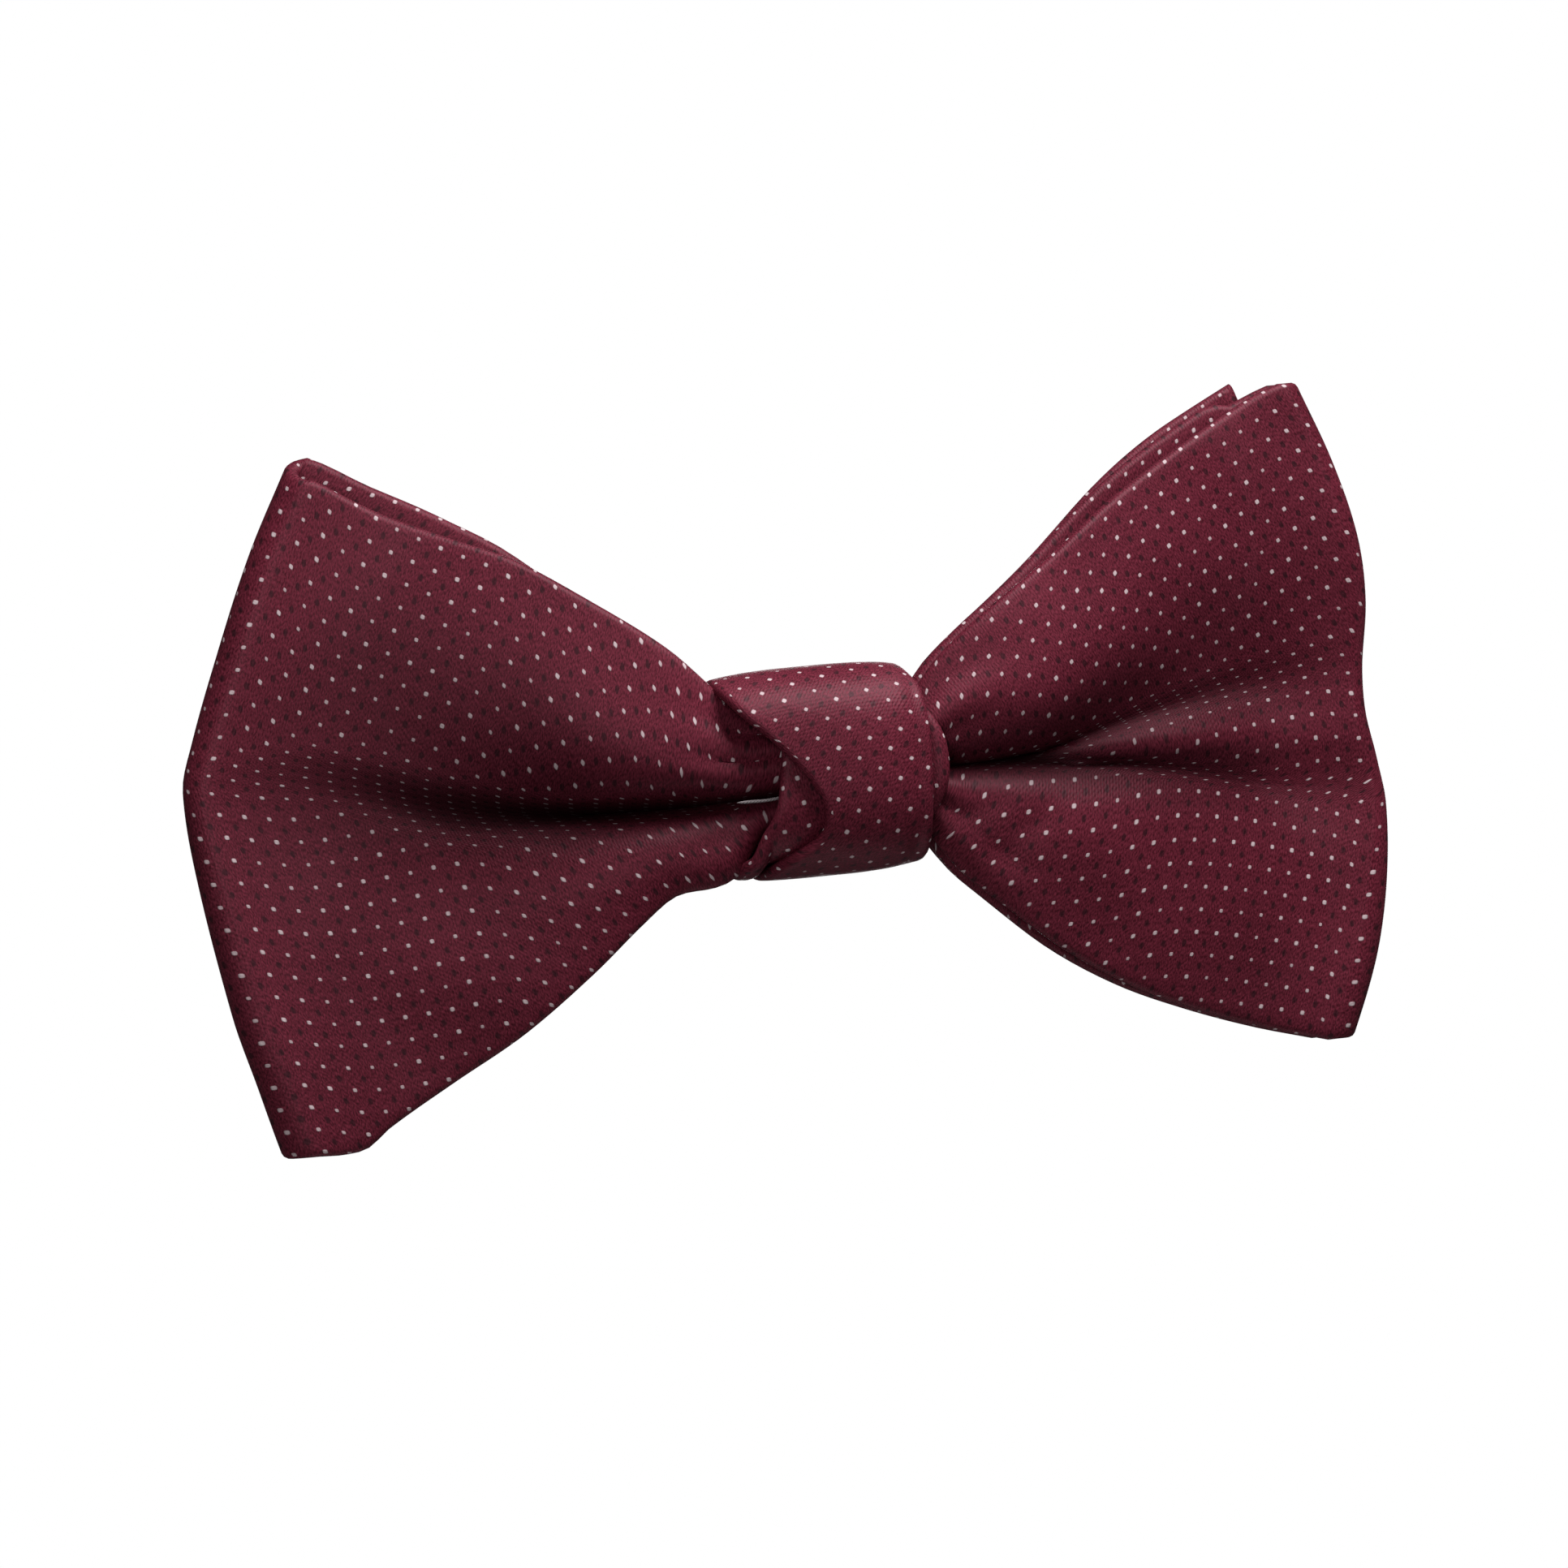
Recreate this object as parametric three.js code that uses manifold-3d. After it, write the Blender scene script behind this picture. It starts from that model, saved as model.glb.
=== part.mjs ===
// A clip-on bow tie in three.js: a folded front bow and a rear bow of interlined cloth, gathered by a thread,
// held by two turns of a knot wrap, and sewn to a sprung double clip that grips the collar.
// Millimetres. +X is to the right of someone who looks at the tie, +Z is up, and the front faces -Y.
// The origin is the middle of the rear face of the pad on the clip plate, which rests against the collar.
import * as THREE from "three";
import { mergeVertices } from "three/addons/utils/BufferGeometryUtils.js";
import Module from "manifold-3d";

const wasm = await Module();
wasm.setup();

const { lerp, clamp, smoothstep } = THREE.MathUtils;

// ---------- driving dimensions ----------

const CLEARANCE = 0.3; // between neighbouring pieces at rest

// Cloth: each bow is a sewn and turned tube of cloth with a stiff interlining in its pocket.
const CLOTH = 0.4; // one ply of the face cloth
const INTERLINING = 0.45;
const POCKET_PLAY = 0.25; // between the interlining and each ply
const SEAM_ALLOWANCE = 1.2; // width of the turned seam along a bow's long edges
const BOW_THICKNESS = 2 * (CLOTH + POCKET_PLAY) + INTERLINING;

// Front bow. Each wing is drawn by the heights of its long edges at distances from the middle, and by the
// reach of its outer edge at places from its bottom corner (-1) to its top corner (1). The outlines are drawn
// for DRAWN sizes, and outside the throat they stretch to the sizes asked for.
const BOW_WIDTH = 118;
const BOW_HEIGHT = 65;
const DRAWN = {
  width: 118,
  height: 65,
  throatReach: 10.1,
  throatHeight: 10.2,
  roomHeight: 6.4, // half the height inside the gathering thread
  roomDepth: 5.6,
};
const LEFT = {
  side: -1,
  top: [[0, 5.4], [7, 5.4], [11, 6], [14, 8.7], [18, 13], [25, 18.4], [32, 22.8], [41, 27], [50.5, 32.3]],
  bottom: [[0, 4.8], [10, 5.0], [15, 6.2], [20, 10.3], [28, 16.7], [35, 21.8], [44, 26.8], [56, 31.2]],
  outer: [[-1, 56.2], [-0.6, 59.8], [-0.2, 62.2], [0.1, 62.9], [0.45, 59], [0.75, 54.8], [1, 50.5]],
  valleys: [{ start: -0.3, end: 0.1, depth: 1 }],
  backLift: 3.6, // how far the back leaf rises above the front one at the top
  rearLift: 1.4, // how far the rear bow does
};
const RIGHT = {
  side: 1,
  top: [
    [0, 5.4], [4.5, 5.5], [6.5, 6.5], [9.5, 9.9], [14, 13.4],
    [22, 18.5], [30, 23.8], [40, 29.6], [50.4, 33.6],
  ],
  bottom: [
    [0, 4.8], [4.5, 4.9], [6.5, 5.7], [10, 10.1], [14, 14],
    [20, 19], [28, 23.6], [38, 27.6], [49, 30.9],
  ],
  outer: [[-1, 49], [-0.6, 53.6], [-0.25, 55.3], [0.05, 54.3], [0.4, 55.5], [0.75, 53.6], [1, 50.4]],
  valleys: [
    { start: 0, end: 0.25, depth: 0.85 },
    { start: -0.02, end: -0.1, depth: 0.7 },
  ],
  backLift: 1.8,
  rearLift: 3.0,
};
const FRONT_EDGE = -7.4; // mid-surface depths at the outer edges
const BACK_EDGE = -3.5;
const REAR_EDGE = -1.2;
const CREST = { at: 0.28, rise: 1 }; // the front leaf bulges this far forward of the throat
const FRONT_CROWN = { middle: 2.2, edge: 0.7 }; // how far the long edges curl back
const CURL_POWER = 2.5; // the curl grows with this power of the distance from the middle line
const FRONT_VALLEY = { middle: 1.4, flare: 3.0, edge: 0.9 }; // depth of the centre crease
const VALLEY_AT_MIDDLE = -0.15;
const VALLEY_WIDTH = { middle: 0.34, edge: 0.2 }; // as a share of the half height
const VALLEY_OPEN_AT = 0.15; // where a wing's creases have parted
const VALLEY_FLARE_AT = 0.3; // where they are deepest
const LIFT = { fullAt: 0.8, lostInFold: 0.4 }; // where a rear layer has risen, and how much of it the fold takes
const END_GAP = 1.2; // between the two sewn ends at the centre back

// Rear bow: one flat tube of cloth across the back.
const REAR_SHORTER = 6.0; // how far each end stops short of the front bow

// Knot: two turns of a folded band. Its rounded section has the exponent KNOT_SQUARENESS.
const KNOT_HEIGHT = 20.2;
const KNOT_LIFT = 0.3; // of its centre above the clip's
const KNOT_BACK = -1.6; // rear face of the outer turn
const KNOT_DEPTH = 18.6;
const WRAP_THICKNESS = 1.3;
const KNOT_SQUARENESS = 2.8;
const WRAP_EDGES = { left: -7.1, leftTilt: -6.0, right: 6.3 };
const UNDER_EDGES = { left: -8.4, leftTop: 2.6, leftTongue: -6.2, right: 4.4, rightFront: 5.0 };

// Threads.
const GATHER_THREAD = 0.5;
const SEAM_THREAD = 0.4;

// Clip: a stamped plate with a raised pad against the collar, and two sprung jaws that open outwards.
const PLATE = { height: 10, thickness: 0.8, corner: 2.2, beyondTeeth: 0.4 };
const PAD = { width: 3.6, height: 7, rise: 0.4 }; // its rear face is at y = 0
const SHEET = 0.7; // of the jaws and of the plate's lugs
const PIN_OUT = 10.0; // from the middle of the plate to each hinge pin
const PIN_BACK = 2.6; // from the plate's rear face to the pin's centre
const PIN_RADIUS = 0.6;
const PIN_PLAY = 0.25; // radial, in the lugs and in the jaw's ears
const LUG_HALF_LENGTH = 1.9;
const JAW_REACH = 11.6; // from the pin to the biting edge
const JAW_GRIP_GAP = 1.1; // the space for the collar's cloth behind the biting edge
const TAB_REACH = 6.6; // from the pin to the end of the thumb tab
const TAB_RISE = 5.3; // of the tab's end above the plate
const SPINE_RISE = 4.3; // of the jaw over its pin
const COIL_TURNS = 4.5;
const COIL_WIRE = 0.4;
const COIL_PITCH = 0.55;
const STITCH_OUT = 3.6; // from the middle of the plate to each pair of sewing slots
const STITCH_SLOT = { width: 1.4, height: 1.6, corner: 0.5, spread: 4.2 };
const EAR_RIM = 0.95; // metal round the hole in a lug or an ear
const TEETH = { count: 5, gap: 0.6, depth: 0.9 };
const PIN_HEAD = { overhang: 0.5, height: 0.4 };

const PLATE_BACK = -PAD.rise; // the plate's rear face
const PLATE_LENGTH = 2 * (PIN_OUT + JAW_REACH + PLATE.beyondTeeth);

// The gathered layers share the depth inside the knot's bands and the gathering thread.
const UNDER_SUNK = WRAP_THICKNESS + CLEARANCE; // the under turn lies this far below the knot's face
const GATHER_SUNK = UNDER_SUNK + WRAP_THICKNESS + CLEARANCE + GATHER_THREAD / 2;
const STACK_SUNK = GATHER_SUNK + GATHER_THREAD / 2 + CLEARANCE + BOW_THICKNESS / 2;
const STACK_PLAY = { front: 0.1, rear: 0.3 };
const BACK_LEAF_AT = 0.45; // its place in the knot, as a share of the way from the rear bow to the front leaf
const LEAF_GAP = 0.4; // least air between gathered layers
const FRONT_LEAF = { middle: KNOT_BACK - KNOT_DEPTH + STACK_SUNK + STACK_PLAY.front, edge: FRONT_EDGE };
const REAR_BOW = { middle: KNOT_BACK - STACK_SUNK - STACK_PLAY.rear, edge: REAR_EDGE };
const BACK_LEAF = { middle: lerp(REAR_BOW.middle, FRONT_LEAF.middle, BACK_LEAF_AT), edge: BACK_EDGE };
const ROOM_HEIGHT = KNOT_HEIGHT / 2 - GATHER_SUNK - GATHER_THREAD / 2;
const ROOM_DEPTH = KNOT_DEPTH / 2 - GATHER_SUNK - GATHER_THREAD / 2;
// Less room than drawn gathers the cloth tighter in the throat.
const THROAT_FIT = Math.min(1, ROOM_HEIGHT / DRAWN.roomHeight) * Math.min(1, ROOM_DEPTH / DRAWN.roomDepth);
// In the knot the rear bow's long edges curl forward and the front leaf's curl back, as far as the back leaf
// lets them.
const REAR_CURL = Math.max(0, REAR_BOW.middle - BACK_LEAF.middle - BOW_THICKNESS - LEAF_GAP);
const FRONT_ROOM = Math.max(0, BACK_LEAF.middle - FRONT_LEAF.middle - BOW_THICKNESS - LEAF_GAP);
const FRONT_CURL = Math.min(FRONT_CROWN.middle, FRONT_ROOM);

// ---------- small helpers ----------

const ease = (t) => smoothstep(t, 0, 1);
const vec = (x, y, z) => new THREE.Vector3(x, y, z);

function colour(hex, roughness, metalness = 0) {
  return new THREE.MeshStandardMaterial({ color: hex, roughness, metalness });
}
const clothMaterial = () => colour(0x5a1c2a, 0.55);
const interliningMaterial = () => colour(0xe8e2d6, 0.95);
const threadMaterial = () => colour(0x6b2436, 0.7);
const steelMaterial = () => colour(0xc9cbd0, 0.28, 1);

// A closed mesh geometry as a manifold-3d solid.
function solidOf(geometry) {
  const bare = new THREE.BufferGeometry();
  bare.setAttribute("position", geometry.getAttribute("position"));
  if (geometry.index) bare.setIndex(geometry.index);
  const merged = mergeVertices(bare, 1e-4);
  return new wasm.Manifold(
    new wasm.Mesh({
      numProp: 3,
      vertProperties: merged.attributes.position.array,
      triVerts: new Uint32Array(merged.index.array),
    }),
  );
}

function geometryOf(solid) {
  const mesh = solid.getMesh();
  const geometry = new THREE.BufferGeometry();
  geometry.setAttribute("position", new THREE.BufferAttribute(mesh.vertProperties, 3));
  geometry.setIndex(new THREE.BufferAttribute(mesh.triVerts, 1));
  geometry.computeVertexNormals();
  return geometry;
}

function named(name, geometry, material) {
  const mesh = new THREE.Mesh(geometry, material);
  mesh.name = name;
  return mesh;
}

// The same shape for the left side: x is turned round, and so is the order of each face's corners.
function mirrored(geometry) {
  const copy = geometry.index ? geometry.toNonIndexed() : geometry.clone();
  const p = copy.attributes.position;
  for (let i = 0; i < p.count; i += 3) {
    const [a, b, c] = [0, 1, 2].map((k) => vec(-p.getX(i + k), p.getY(i + k), p.getZ(i + k)));
    [a, c, b].forEach((q, k) => p.setXYZ(i + k, q.x, q.y, q.z));
  }
  copy.computeVertexNormals();
  return copy;
}

// ---------- thin sheets ----------

// Normals of a grid of points, rows[i][j], from the differences between neighbours.
function gridNormals(rows, closed) {
  const n = rows.length;
  const at = (i) => (closed ? rows[(i + n) % n] : rows[clamp(i, 0, n - 1)]);
  return rows.map((row, i) =>
    row.map((_, j) => {
      const along = at(i + 1)[j].clone().sub(at(i - 1)[j]);
      const across = row[Math.min(j + 1, row.length - 1)].clone().sub(row[Math.max(j - 1, 0)]);
      return along.cross(across).normalize();
    }),
  );
}

const WIDEST_MARGIN = SEAM_ALLOWANCE + CLEARANCE;
const MOST_INWARD = 0.8; // of the way to the next line of points

// The ring of points round one row of a sheet: along its low face and back along its high face. margin pulls
// the sheet's long edges in, though never as far as its next line of points.
function ringOf(rows, normals, i, low, high, margin = 0) {
  const m = rows[i].length;
  const at = (j, offset) => {
    const q = rows[i][j].clone();
    if (margin && (j === 0 || j === m - 1)) {
      const inward = rows[i][j === 0 ? 1 : m - 2].clone().sub(q);
      const most = (MOST_INWARD * inward.length() * margin) / WIDEST_MARGIN;
      q.add(inward.setLength(Math.min(margin, most)));
    }
    return q.addScaledVector(normals[i][j], offset);
  };
  const places = Array.from({ length: m }, (_, j) => j);
  return [...places.map((j) => at(j, low)), ...places.reverse().map((j) => at(j, high))];
}

// Faces between neighbouring rings, numbered from first; inward turns them round. Both faces of the sheet are
// cut along the same diagonals, so that its thickness holds where it twists.
function ringFaces(faces, first, count, size, { closed = false, inward = false } = {}) {
  for (let i = 0; i < (closed ? count : count - 1); i++)
    for (let k = 0; k < size; k++) {
      const next = (k + 1) % size;
      const [a, b] = [first + i * size, first + ((i + 1) % count) * size];
      const [p, q, r, t] = [a + k, a + next, b + next, b + k];
      const pair = k < size / 2 ? [p, q, r, p, r, t] : [p, q, t, q, r, t];
      faces.push(...(inward ? pair.reverse() : pair));
    }
}

function meshOf(points, faces) {
  const geometry = new THREE.BufferGeometry();
  geometry.setAttribute("position", new THREE.Float32BufferAttribute(points.flatMap((q) => q.toArray()), 3));
  geometry.setIndex(faces);
  return geometry;
}

// A closed solid between the offsets low and high of a grid of mid-surface points, along its normals.
function sheetGeometry(rows, low, high, { closed = false, margin = 0 } = {}) {
  const normals = gridNormals(rows, closed);
  const n = rows.length;
  const m = rows[0].length;
  const points = rows.flatMap((_, i) => ringOf(rows, normals, i, low, high, margin));
  const faces = [];
  ringFaces(faces, 0, n, 2 * m, { closed });
  if (!closed)
    for (let j = 0; j < m - 1; j++) {
      const [a, b, c, d] = [j, j + 1, 2 * m - 2 - j, 2 * m - 1 - j];
      const end = (n - 1) * 2 * m;
      faces.push(a, d, c, a, c, b);
      faces.push(end + a, end + b, end + c, end + a, end + c, end + d);
    }
  return meshOf(points, faces);
}

// A sewn and turned tube of cloth, whose pocket for the interlining is open at both ends.
function turnedTube(rows) {
  const half = BOW_THICKNESS / 2;
  const pocket = half - CLOTH;
  const normals = gridNormals(rows, false);
  const n = rows.length;
  const size = 2 * rows[0].length;
  const outside = rows.flatMap((_, i) => ringOf(rows, normals, i, -half, half));
  const inside = rows.flatMap((_, i) => ringOf(rows, normals, i, -pocket, pocket, SEAM_ALLOWANCE));
  const faces = [];
  ringFaces(faces, 0, n, size);
  ringFaces(faces, n * size, n, size, { inward: true });
  for (let k = 0; k < size; k++) {
    const next = (k + 1) % size;
    const rim = (row) => [row * size + k, row * size + next, (n + row) * size + next, (n + row) * size + k];
    const [a, b, c, d] = rim(0);
    faces.push(a, c, b, a, d, c);
    const [p, q, r, t] = rim(n - 1);
    faces.push(p, q, r, p, r, t);
  }
  return meshOf([...outside, ...inside], faces);
}

function interliningOf(rows) {
  const half = INTERLINING / 2;
  return sheetGeometry(rows, -half, half, { margin: WIDEST_MARGIN });
}

// ---------- the shape of a wing ----------

// A smooth curve through listed [position, value] pairs, as a function of position.
function curveThrough(pairs) {
  const slope = (i) => {
    const [a, b] = [pairs[Math.max(i - 1, 0)], pairs[Math.min(i + 1, pairs.length - 1)]];
    return (b[1] - a[1]) / (b[0] - a[0]);
  };
  return (x) => {
    const last = pairs.length - 2;
    const i = clamp(pairs.findIndex(([at]) => at > x) - 1, 0, last);
    const k = x >= pairs[last][0] ? last : i;
    const [[x0, y0], [x1, y1]] = [pairs[k], pairs[k + 1]];
    const width = x1 - x0;
    const t = (x - x0) / width;
    const [a, b] = [slope(k) * width, slope(k + 1) * width];
    return y0 + t * (a + t * (3 * (y1 - y0) - 2 * a - b + t * (2 * (y0 - y1) + a + b)));
  };
}

const range = (n) => Array.from({ length: n + 1 }, (_, i) => i / n);
// Places across the cloth, from the bottom edge to the top edge, closer together at the creases.
const ACROSS = [-1, -0.8, -0.58, -0.36, -0.2, -0.08, 0.04, 0.16, 0.3, 0.52, 0.77, 1];
const REAR_ACROSS = [-1, -0.7, -0.35, 0, 0.35, 0.7, 1];
const ALONG = [0, 0.07, 0.12, 0.18, 0.25, 0.36, 0.54, 0.77, 1]; // places from the middle to the outer edge
const FOLD_STEPS = [0.25, 0.5, 0.75]; // places round the fold at the outer edge

// A drawn distance or height, stretched beyond its value in the throat.
function stretch(value, start, drawn, wanted) {
  return value < start ? value : start + ((value - start) * (wanted / 2 - start)) / (drawn / 2 - start);
}
const wide = (x) => stretch(x, DRAWN.throatReach, DRAWN.width, BOW_WIDTH);
const tall = (z) =>
  z < DRAWN.throatHeight ? z * THROAT_FIT : stretch(z, DRAWN.throatHeight, DRAWN.height, BOW_HEIGHT);

for (const wing of [LEFT, RIGHT]) {
  wing.topAt = curveThrough(wing.top.map(([x, z]) => [wide(x), tall(z)]));
  wing.bottomAt = curveThrough(wing.bottom.map(([x, z]) => [wide(x), tall(z)]));
  wing.reachAt = curveThrough(wing.outer.map(([v, x]) => [v, wide(x)]));
  wing.reach = wing.reachAt(0);
}

// Half height of the cloth at the share u of the way to the outer edge, above or below the middle.
function halfHeight(wing, u, v) {
  return v > 0 ? wing.topAt(u * wing.reachAt(1)) : wing.bottomAt(u * wing.reachAt(-1));
}

// How far the creases push the front leaf back at (u, v).
function creaseDepth(wing, u, v) {
  const { middle, flare, edge } = FRONT_VALLEY;
  const flared = ease(u / VALLEY_FLARE_AT);
  const shut = ease((u - VALLEY_FLARE_AT) / (1 - VALLEY_FLARE_AT));
  const deep = u < VALLEY_FLARE_AT ? lerp(middle, flare, flared) : lerp(flare, edge, shut);
  const opened = ease(u / VALLEY_OPEN_AT); // at the middle both wings share one crease
  const width = lerp(VALLEY_WIDTH.middle, VALLEY_WIDTH.edge, flared);
  return Math.max(
    ...wing.valleys.map(({ start, end, depth }) => {
      const centre = lerp(VALLEY_AT_MIDDLE, lerp(start, end, u), opened);
      return deep * lerp(1, depth, opened) * Math.exp(-(((v - centre) / width) ** 2));
    }),
  );
}

// Depth of the front leaf at (u, v): u runs from the middle to the outer edge, v from the bottom to the top.
function frontDepth(wing, u, v) {
  const { middle, edge } = FRONT_LEAF;
  const crest = middle - CREST.rise;
  const rise = lerp(middle, crest, ease(u / CREST.at));
  const fall = lerp(crest, edge, ease((u - CREST.at) / (1 - CREST.at)));
  const curl = lerp(FRONT_CURL, FRONT_CROWN.edge, ease(u)) * Math.abs(v) ** CURL_POWER;
  return (u < CREST.at ? rise : fall) + curl + creaseDepth(wing, u, v);
}

function backDepth(u) {
  return lerp(BACK_LEAF.middle, BACK_LEAF.edge, ease(u));
}

function frontLeafPoint(wing, u, v) {
  const fold = (backDepth(1) - frontDepth(wing, 1, v)) / 2;
  const x = u * (wing.reachAt(v) - fold);
  return vec(wing.side * x, frontDepth(wing, u, v), v * halfHeight(wing, u, v));
}

// How far a layer behind the front leaf rises above it: nothing at the bottom edge, and less at the fold.
function riseAt(lift, u, v) {
  const lost = LIFT.lostInFold * ease((u - LIFT.fullAt) / (1 - LIFT.fullAt));
  return lift * ease(u / LIFT.fullAt) * (1 - lost) * (0.5 + 0.5 * v);
}

function backLeafPoint(wing, u, v) {
  const q = frontLeafPoint(wing, u, v);
  return vec(q.x, backDepth(u), q.z + riseAt(wing.backLift, u, v));
}

// A point round the outer fold, from the front leaf (0) to the back leaf (1).
function foldPoint(wing, turn, v) {
  const front = frontLeafPoint(wing, 1, v);
  const back = backLeafPoint(wing, 1, v);
  const radius = (back.y - front.y) / 2;
  const out = radius * Math.sin(Math.PI * turn);
  const q = front.clone().lerp(back, (1 - Math.cos(Math.PI * turn)) / 2);
  return q.add(vec(wing.side * out, 0, 0));
}

const across = (pointAt, places = ACROSS) => places.map(pointAt);
const backwards = (list) => [...list].reverse();

// Rows of the front bow's mid-surface: from its left end at the centre back, round the left fold, along
// the front, round the right fold and back to its right end.
function frontBowRows() {
  const endShare = (wing) => END_GAP / 2 / wing.reach;
  const back = (wing) => [endShare(wing), ...ALONG.slice(1)].map((u) => across((v) => backLeafPoint(wing, u, v)));
  const fold = (wing) => FOLD_STEPS.map((turn) => across((v) => foldPoint(wing, turn, v)));
  const front = (wing) => ALONG.map((u) => across((v) => frontLeafPoint(wing, u, v)));
  return [
    ...back(LEFT),
    ...backwards(fold(LEFT)),
    ...backwards(front(LEFT)),
    ...front(RIGHT).slice(1),
    ...fold(RIGHT),
    ...backwards(back(RIGHT)),
  ];
}

// Rows of the rear bow's mid-surface, from its left end to its right end.
function rearBowRows() {
  const half = (wing) =>
    ALONG.map((u) =>
      across((v) => {
        const share = u * (1 - REAR_SHORTER / wing.reach);
        const x = share * wing.reachAt(v);
        const curl = REAR_CURL * (1 - ease(u)) * Math.abs(v) ** CURL_POWER;
        const y = lerp(REAR_BOW.middle, REAR_BOW.edge, ease(u)) - curl;
        const z = v * halfHeight(wing, share, v) + riseAt(wing.rearLift, share, v);
        return vec(wing.side * x, y, z);
      }, REAR_ACROSS),
    );
  return [...backwards(half(LEFT)), ...half(RIGHT).slice(1)];
}

// ---------- the knot ----------

const KNOT_MIDDLE = KNOT_BACK - KNOT_DEPTH / 2;
const KNOT_STEPS = 32;
const WRAP_STEPS = 4; // across the band

// A point on the knot's rounded section, sunk below its outer face: turn 0 is the front and 90 degrees the top.
function knotPoint(turn, sunk, x) {
  const power = 2 / KNOT_SQUARENESS;
  const rounded = (t) => Math.sign(t) * Math.abs(t) ** power;
  const deep = (KNOT_DEPTH / 2 - sunk) * rounded(Math.cos(turn));
  const high = (KNOT_HEIGHT / 2 - sunk) * rounded(Math.sin(turn));
  return vec(x, KNOT_MIDDLE - deep, KNOT_LIFT + high);
}

// One turn of the band round the knot. Its side edges are places along x, given by how high and how far
// forward the band is on the section, each from -1 to 1.
function wrapGeometry(sunk, leftEdge, rightEdge) {
  const rows = [];
  for (let i = 0; i < KNOT_STEPS; i++) {
    const turn = (2 * Math.PI * (i + 0.5)) / KNOT_STEPS;
    const on = knotPoint(turn, sunk + WRAP_THICKNESS / 2, 0);
    const high = (on.z - KNOT_LIFT) / (KNOT_HEIGHT / 2);
    const forward = (KNOT_MIDDLE - on.y) / (KNOT_DEPTH / 2);
    const place = (t) => lerp(leftEdge(high, forward), rightEdge(high, forward), t);
    rows.push(range(WRAP_STEPS).map((t) => on.clone().setX(place(t))));
  }
  return sheetGeometry(rows, -WRAP_THICKNESS / 2, WRAP_THICKNESS / 2, { closed: true });
}

// The outer turn comes over the top from the left and runs down to the right.
function knotWrap() {
  const { left, leftTilt, right } = WRAP_EDGES;
  return wrapGeometry(
    0,
    (high) => left + leftTilt * high,
    () => right,
  );
}

// The under turn shows as a tongue at the lower left and as a strip at the right of the front.
function knotUnderWrap() {
  const { left, leftTop, leftTongue, right, rightFront } = UNDER_EDGES;
  return wrapGeometry(
    UNDER_SUNK,
    (high) => left + (high > 0 ? leftTop * high : leftTongue * Math.abs(high) ** 3),
    (high, forward) => right + rightFront * Math.max(0, forward) * (1 - high ** 2),
  );
}

// ---------- threads ----------

// A round thread or wire along a list of points. ExtrudeGeometry closes both of its ends.
function threadGeometry(points, diameter, steps, sides = 6) {
  const path = new THREE.CatmullRomCurve3(points, false, "centripetal");
  const section = new THREE.Shape();
  section.absarc(0, 0, diameter / 2, 0, 2 * Math.PI, false);
  return new THREE.ExtrudeGeometry(section, {
    steps,
    extrudePath: path,
    curveSegments: sides / 2,
    bevelEnabled: false,
  });
}

// The gathering thread: turns round the cloth inside the under wrap, and a loose tail over the left crease.
function gatherThread() {
  const turns = 3;
  const perTurn = 16;
  const pitch = GATHER_THREAD + CLEARANCE;
  const coil = [];
  for (let i = 0; i <= turns * perTurn; i++) {
    const turn = (2 * Math.PI * i) / perTurn;
    coil.push(knotPoint(turn, GATHER_SUNK, -pitch * (i / perTurn - turns / 2)));
  }
  const end = coil[coil.length - 1];
  const tail = [vec(end.x - 3, end.y, end.z - 0.8), vec(-8.2, end.y, -1.9), vec(-12.4, end.y - 0.4, -2)];
  return threadGeometry([...coil, ...tail], GATHER_THREAD, 80);
}

// The wrap's sewn end: a zigzag of stitches across its back, below the clip plate.
function wrapSeamThread() {
  const count = 12;
  const [from, to] = [-3.2, 5.4];
  const stitch = 1.4;
  const y = KNOT_BACK + CLEARANCE + SEAM_THREAD / 2;
  const low = KNOT_LIFT - KNOT_HEIGHT / 2 + 2.6;
  const points = [];
  for (let i = 0; i <= count; i++) points.push(vec(lerp(from, to, i / count), y, low + (i % 2 ? stitch : 0)));
  return threadGeometry(points, SEAM_THREAD, 48);
}

// Stitches across the gap between the front bow's two ends, behind its back leaf.
function endSeamThread() {
  const above = 0.08; // the cloth
  const y = BACK_LEAF.middle + BOW_THICKNESS / 2 + SEAM_THREAD / 2 + above;
  const reach = 3.6;
  const half = END_GAP / 3;
  const count = 10;
  const points = [];
  for (let i = 0; i <= count; i++) points.push(vec(i % 2 ? half : -half, y, lerp(-reach, reach, i / count)));
  return threadGeometry(points, SEAM_THREAD, 40);
}

// A bundle of thread that holds the plate to the knot: over the bar between two slots, and down through both.
function clipStitch() {
  const thick = 2 * SEAM_THREAD;
  const bend = { back: 0.1, up: 0.6 }; // where the bundle turns over the bar
  const leg = STITCH_SLOT.spread / 2;
  const over = PLATE_BACK + CLEARANCE + thick / 2;
  const under = KNOT_BACK + CLEARANCE;
  const points = [
    vec(STITCH_OUT, under, -leg),
    vec(STITCH_OUT, PLATE_BACK - bend.back, -leg),
    vec(STITCH_OUT, over - bend.back, -leg + bend.up),
    vec(STITCH_OUT, over, 0),
    vec(STITCH_OUT, over - bend.back, leg - bend.up),
    vec(STITCH_OUT, PLATE_BACK - bend.back, leg),
    vec(STITCH_OUT, under, leg),
  ];
  return threadGeometry(points, thick, 20, 8);
}

// ---------- the clip ----------
// It is drawn with the plate's rear face at y = 0.

const FLAT_CUT = { bevelEnabled: false, curveSegments: 4 };

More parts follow.
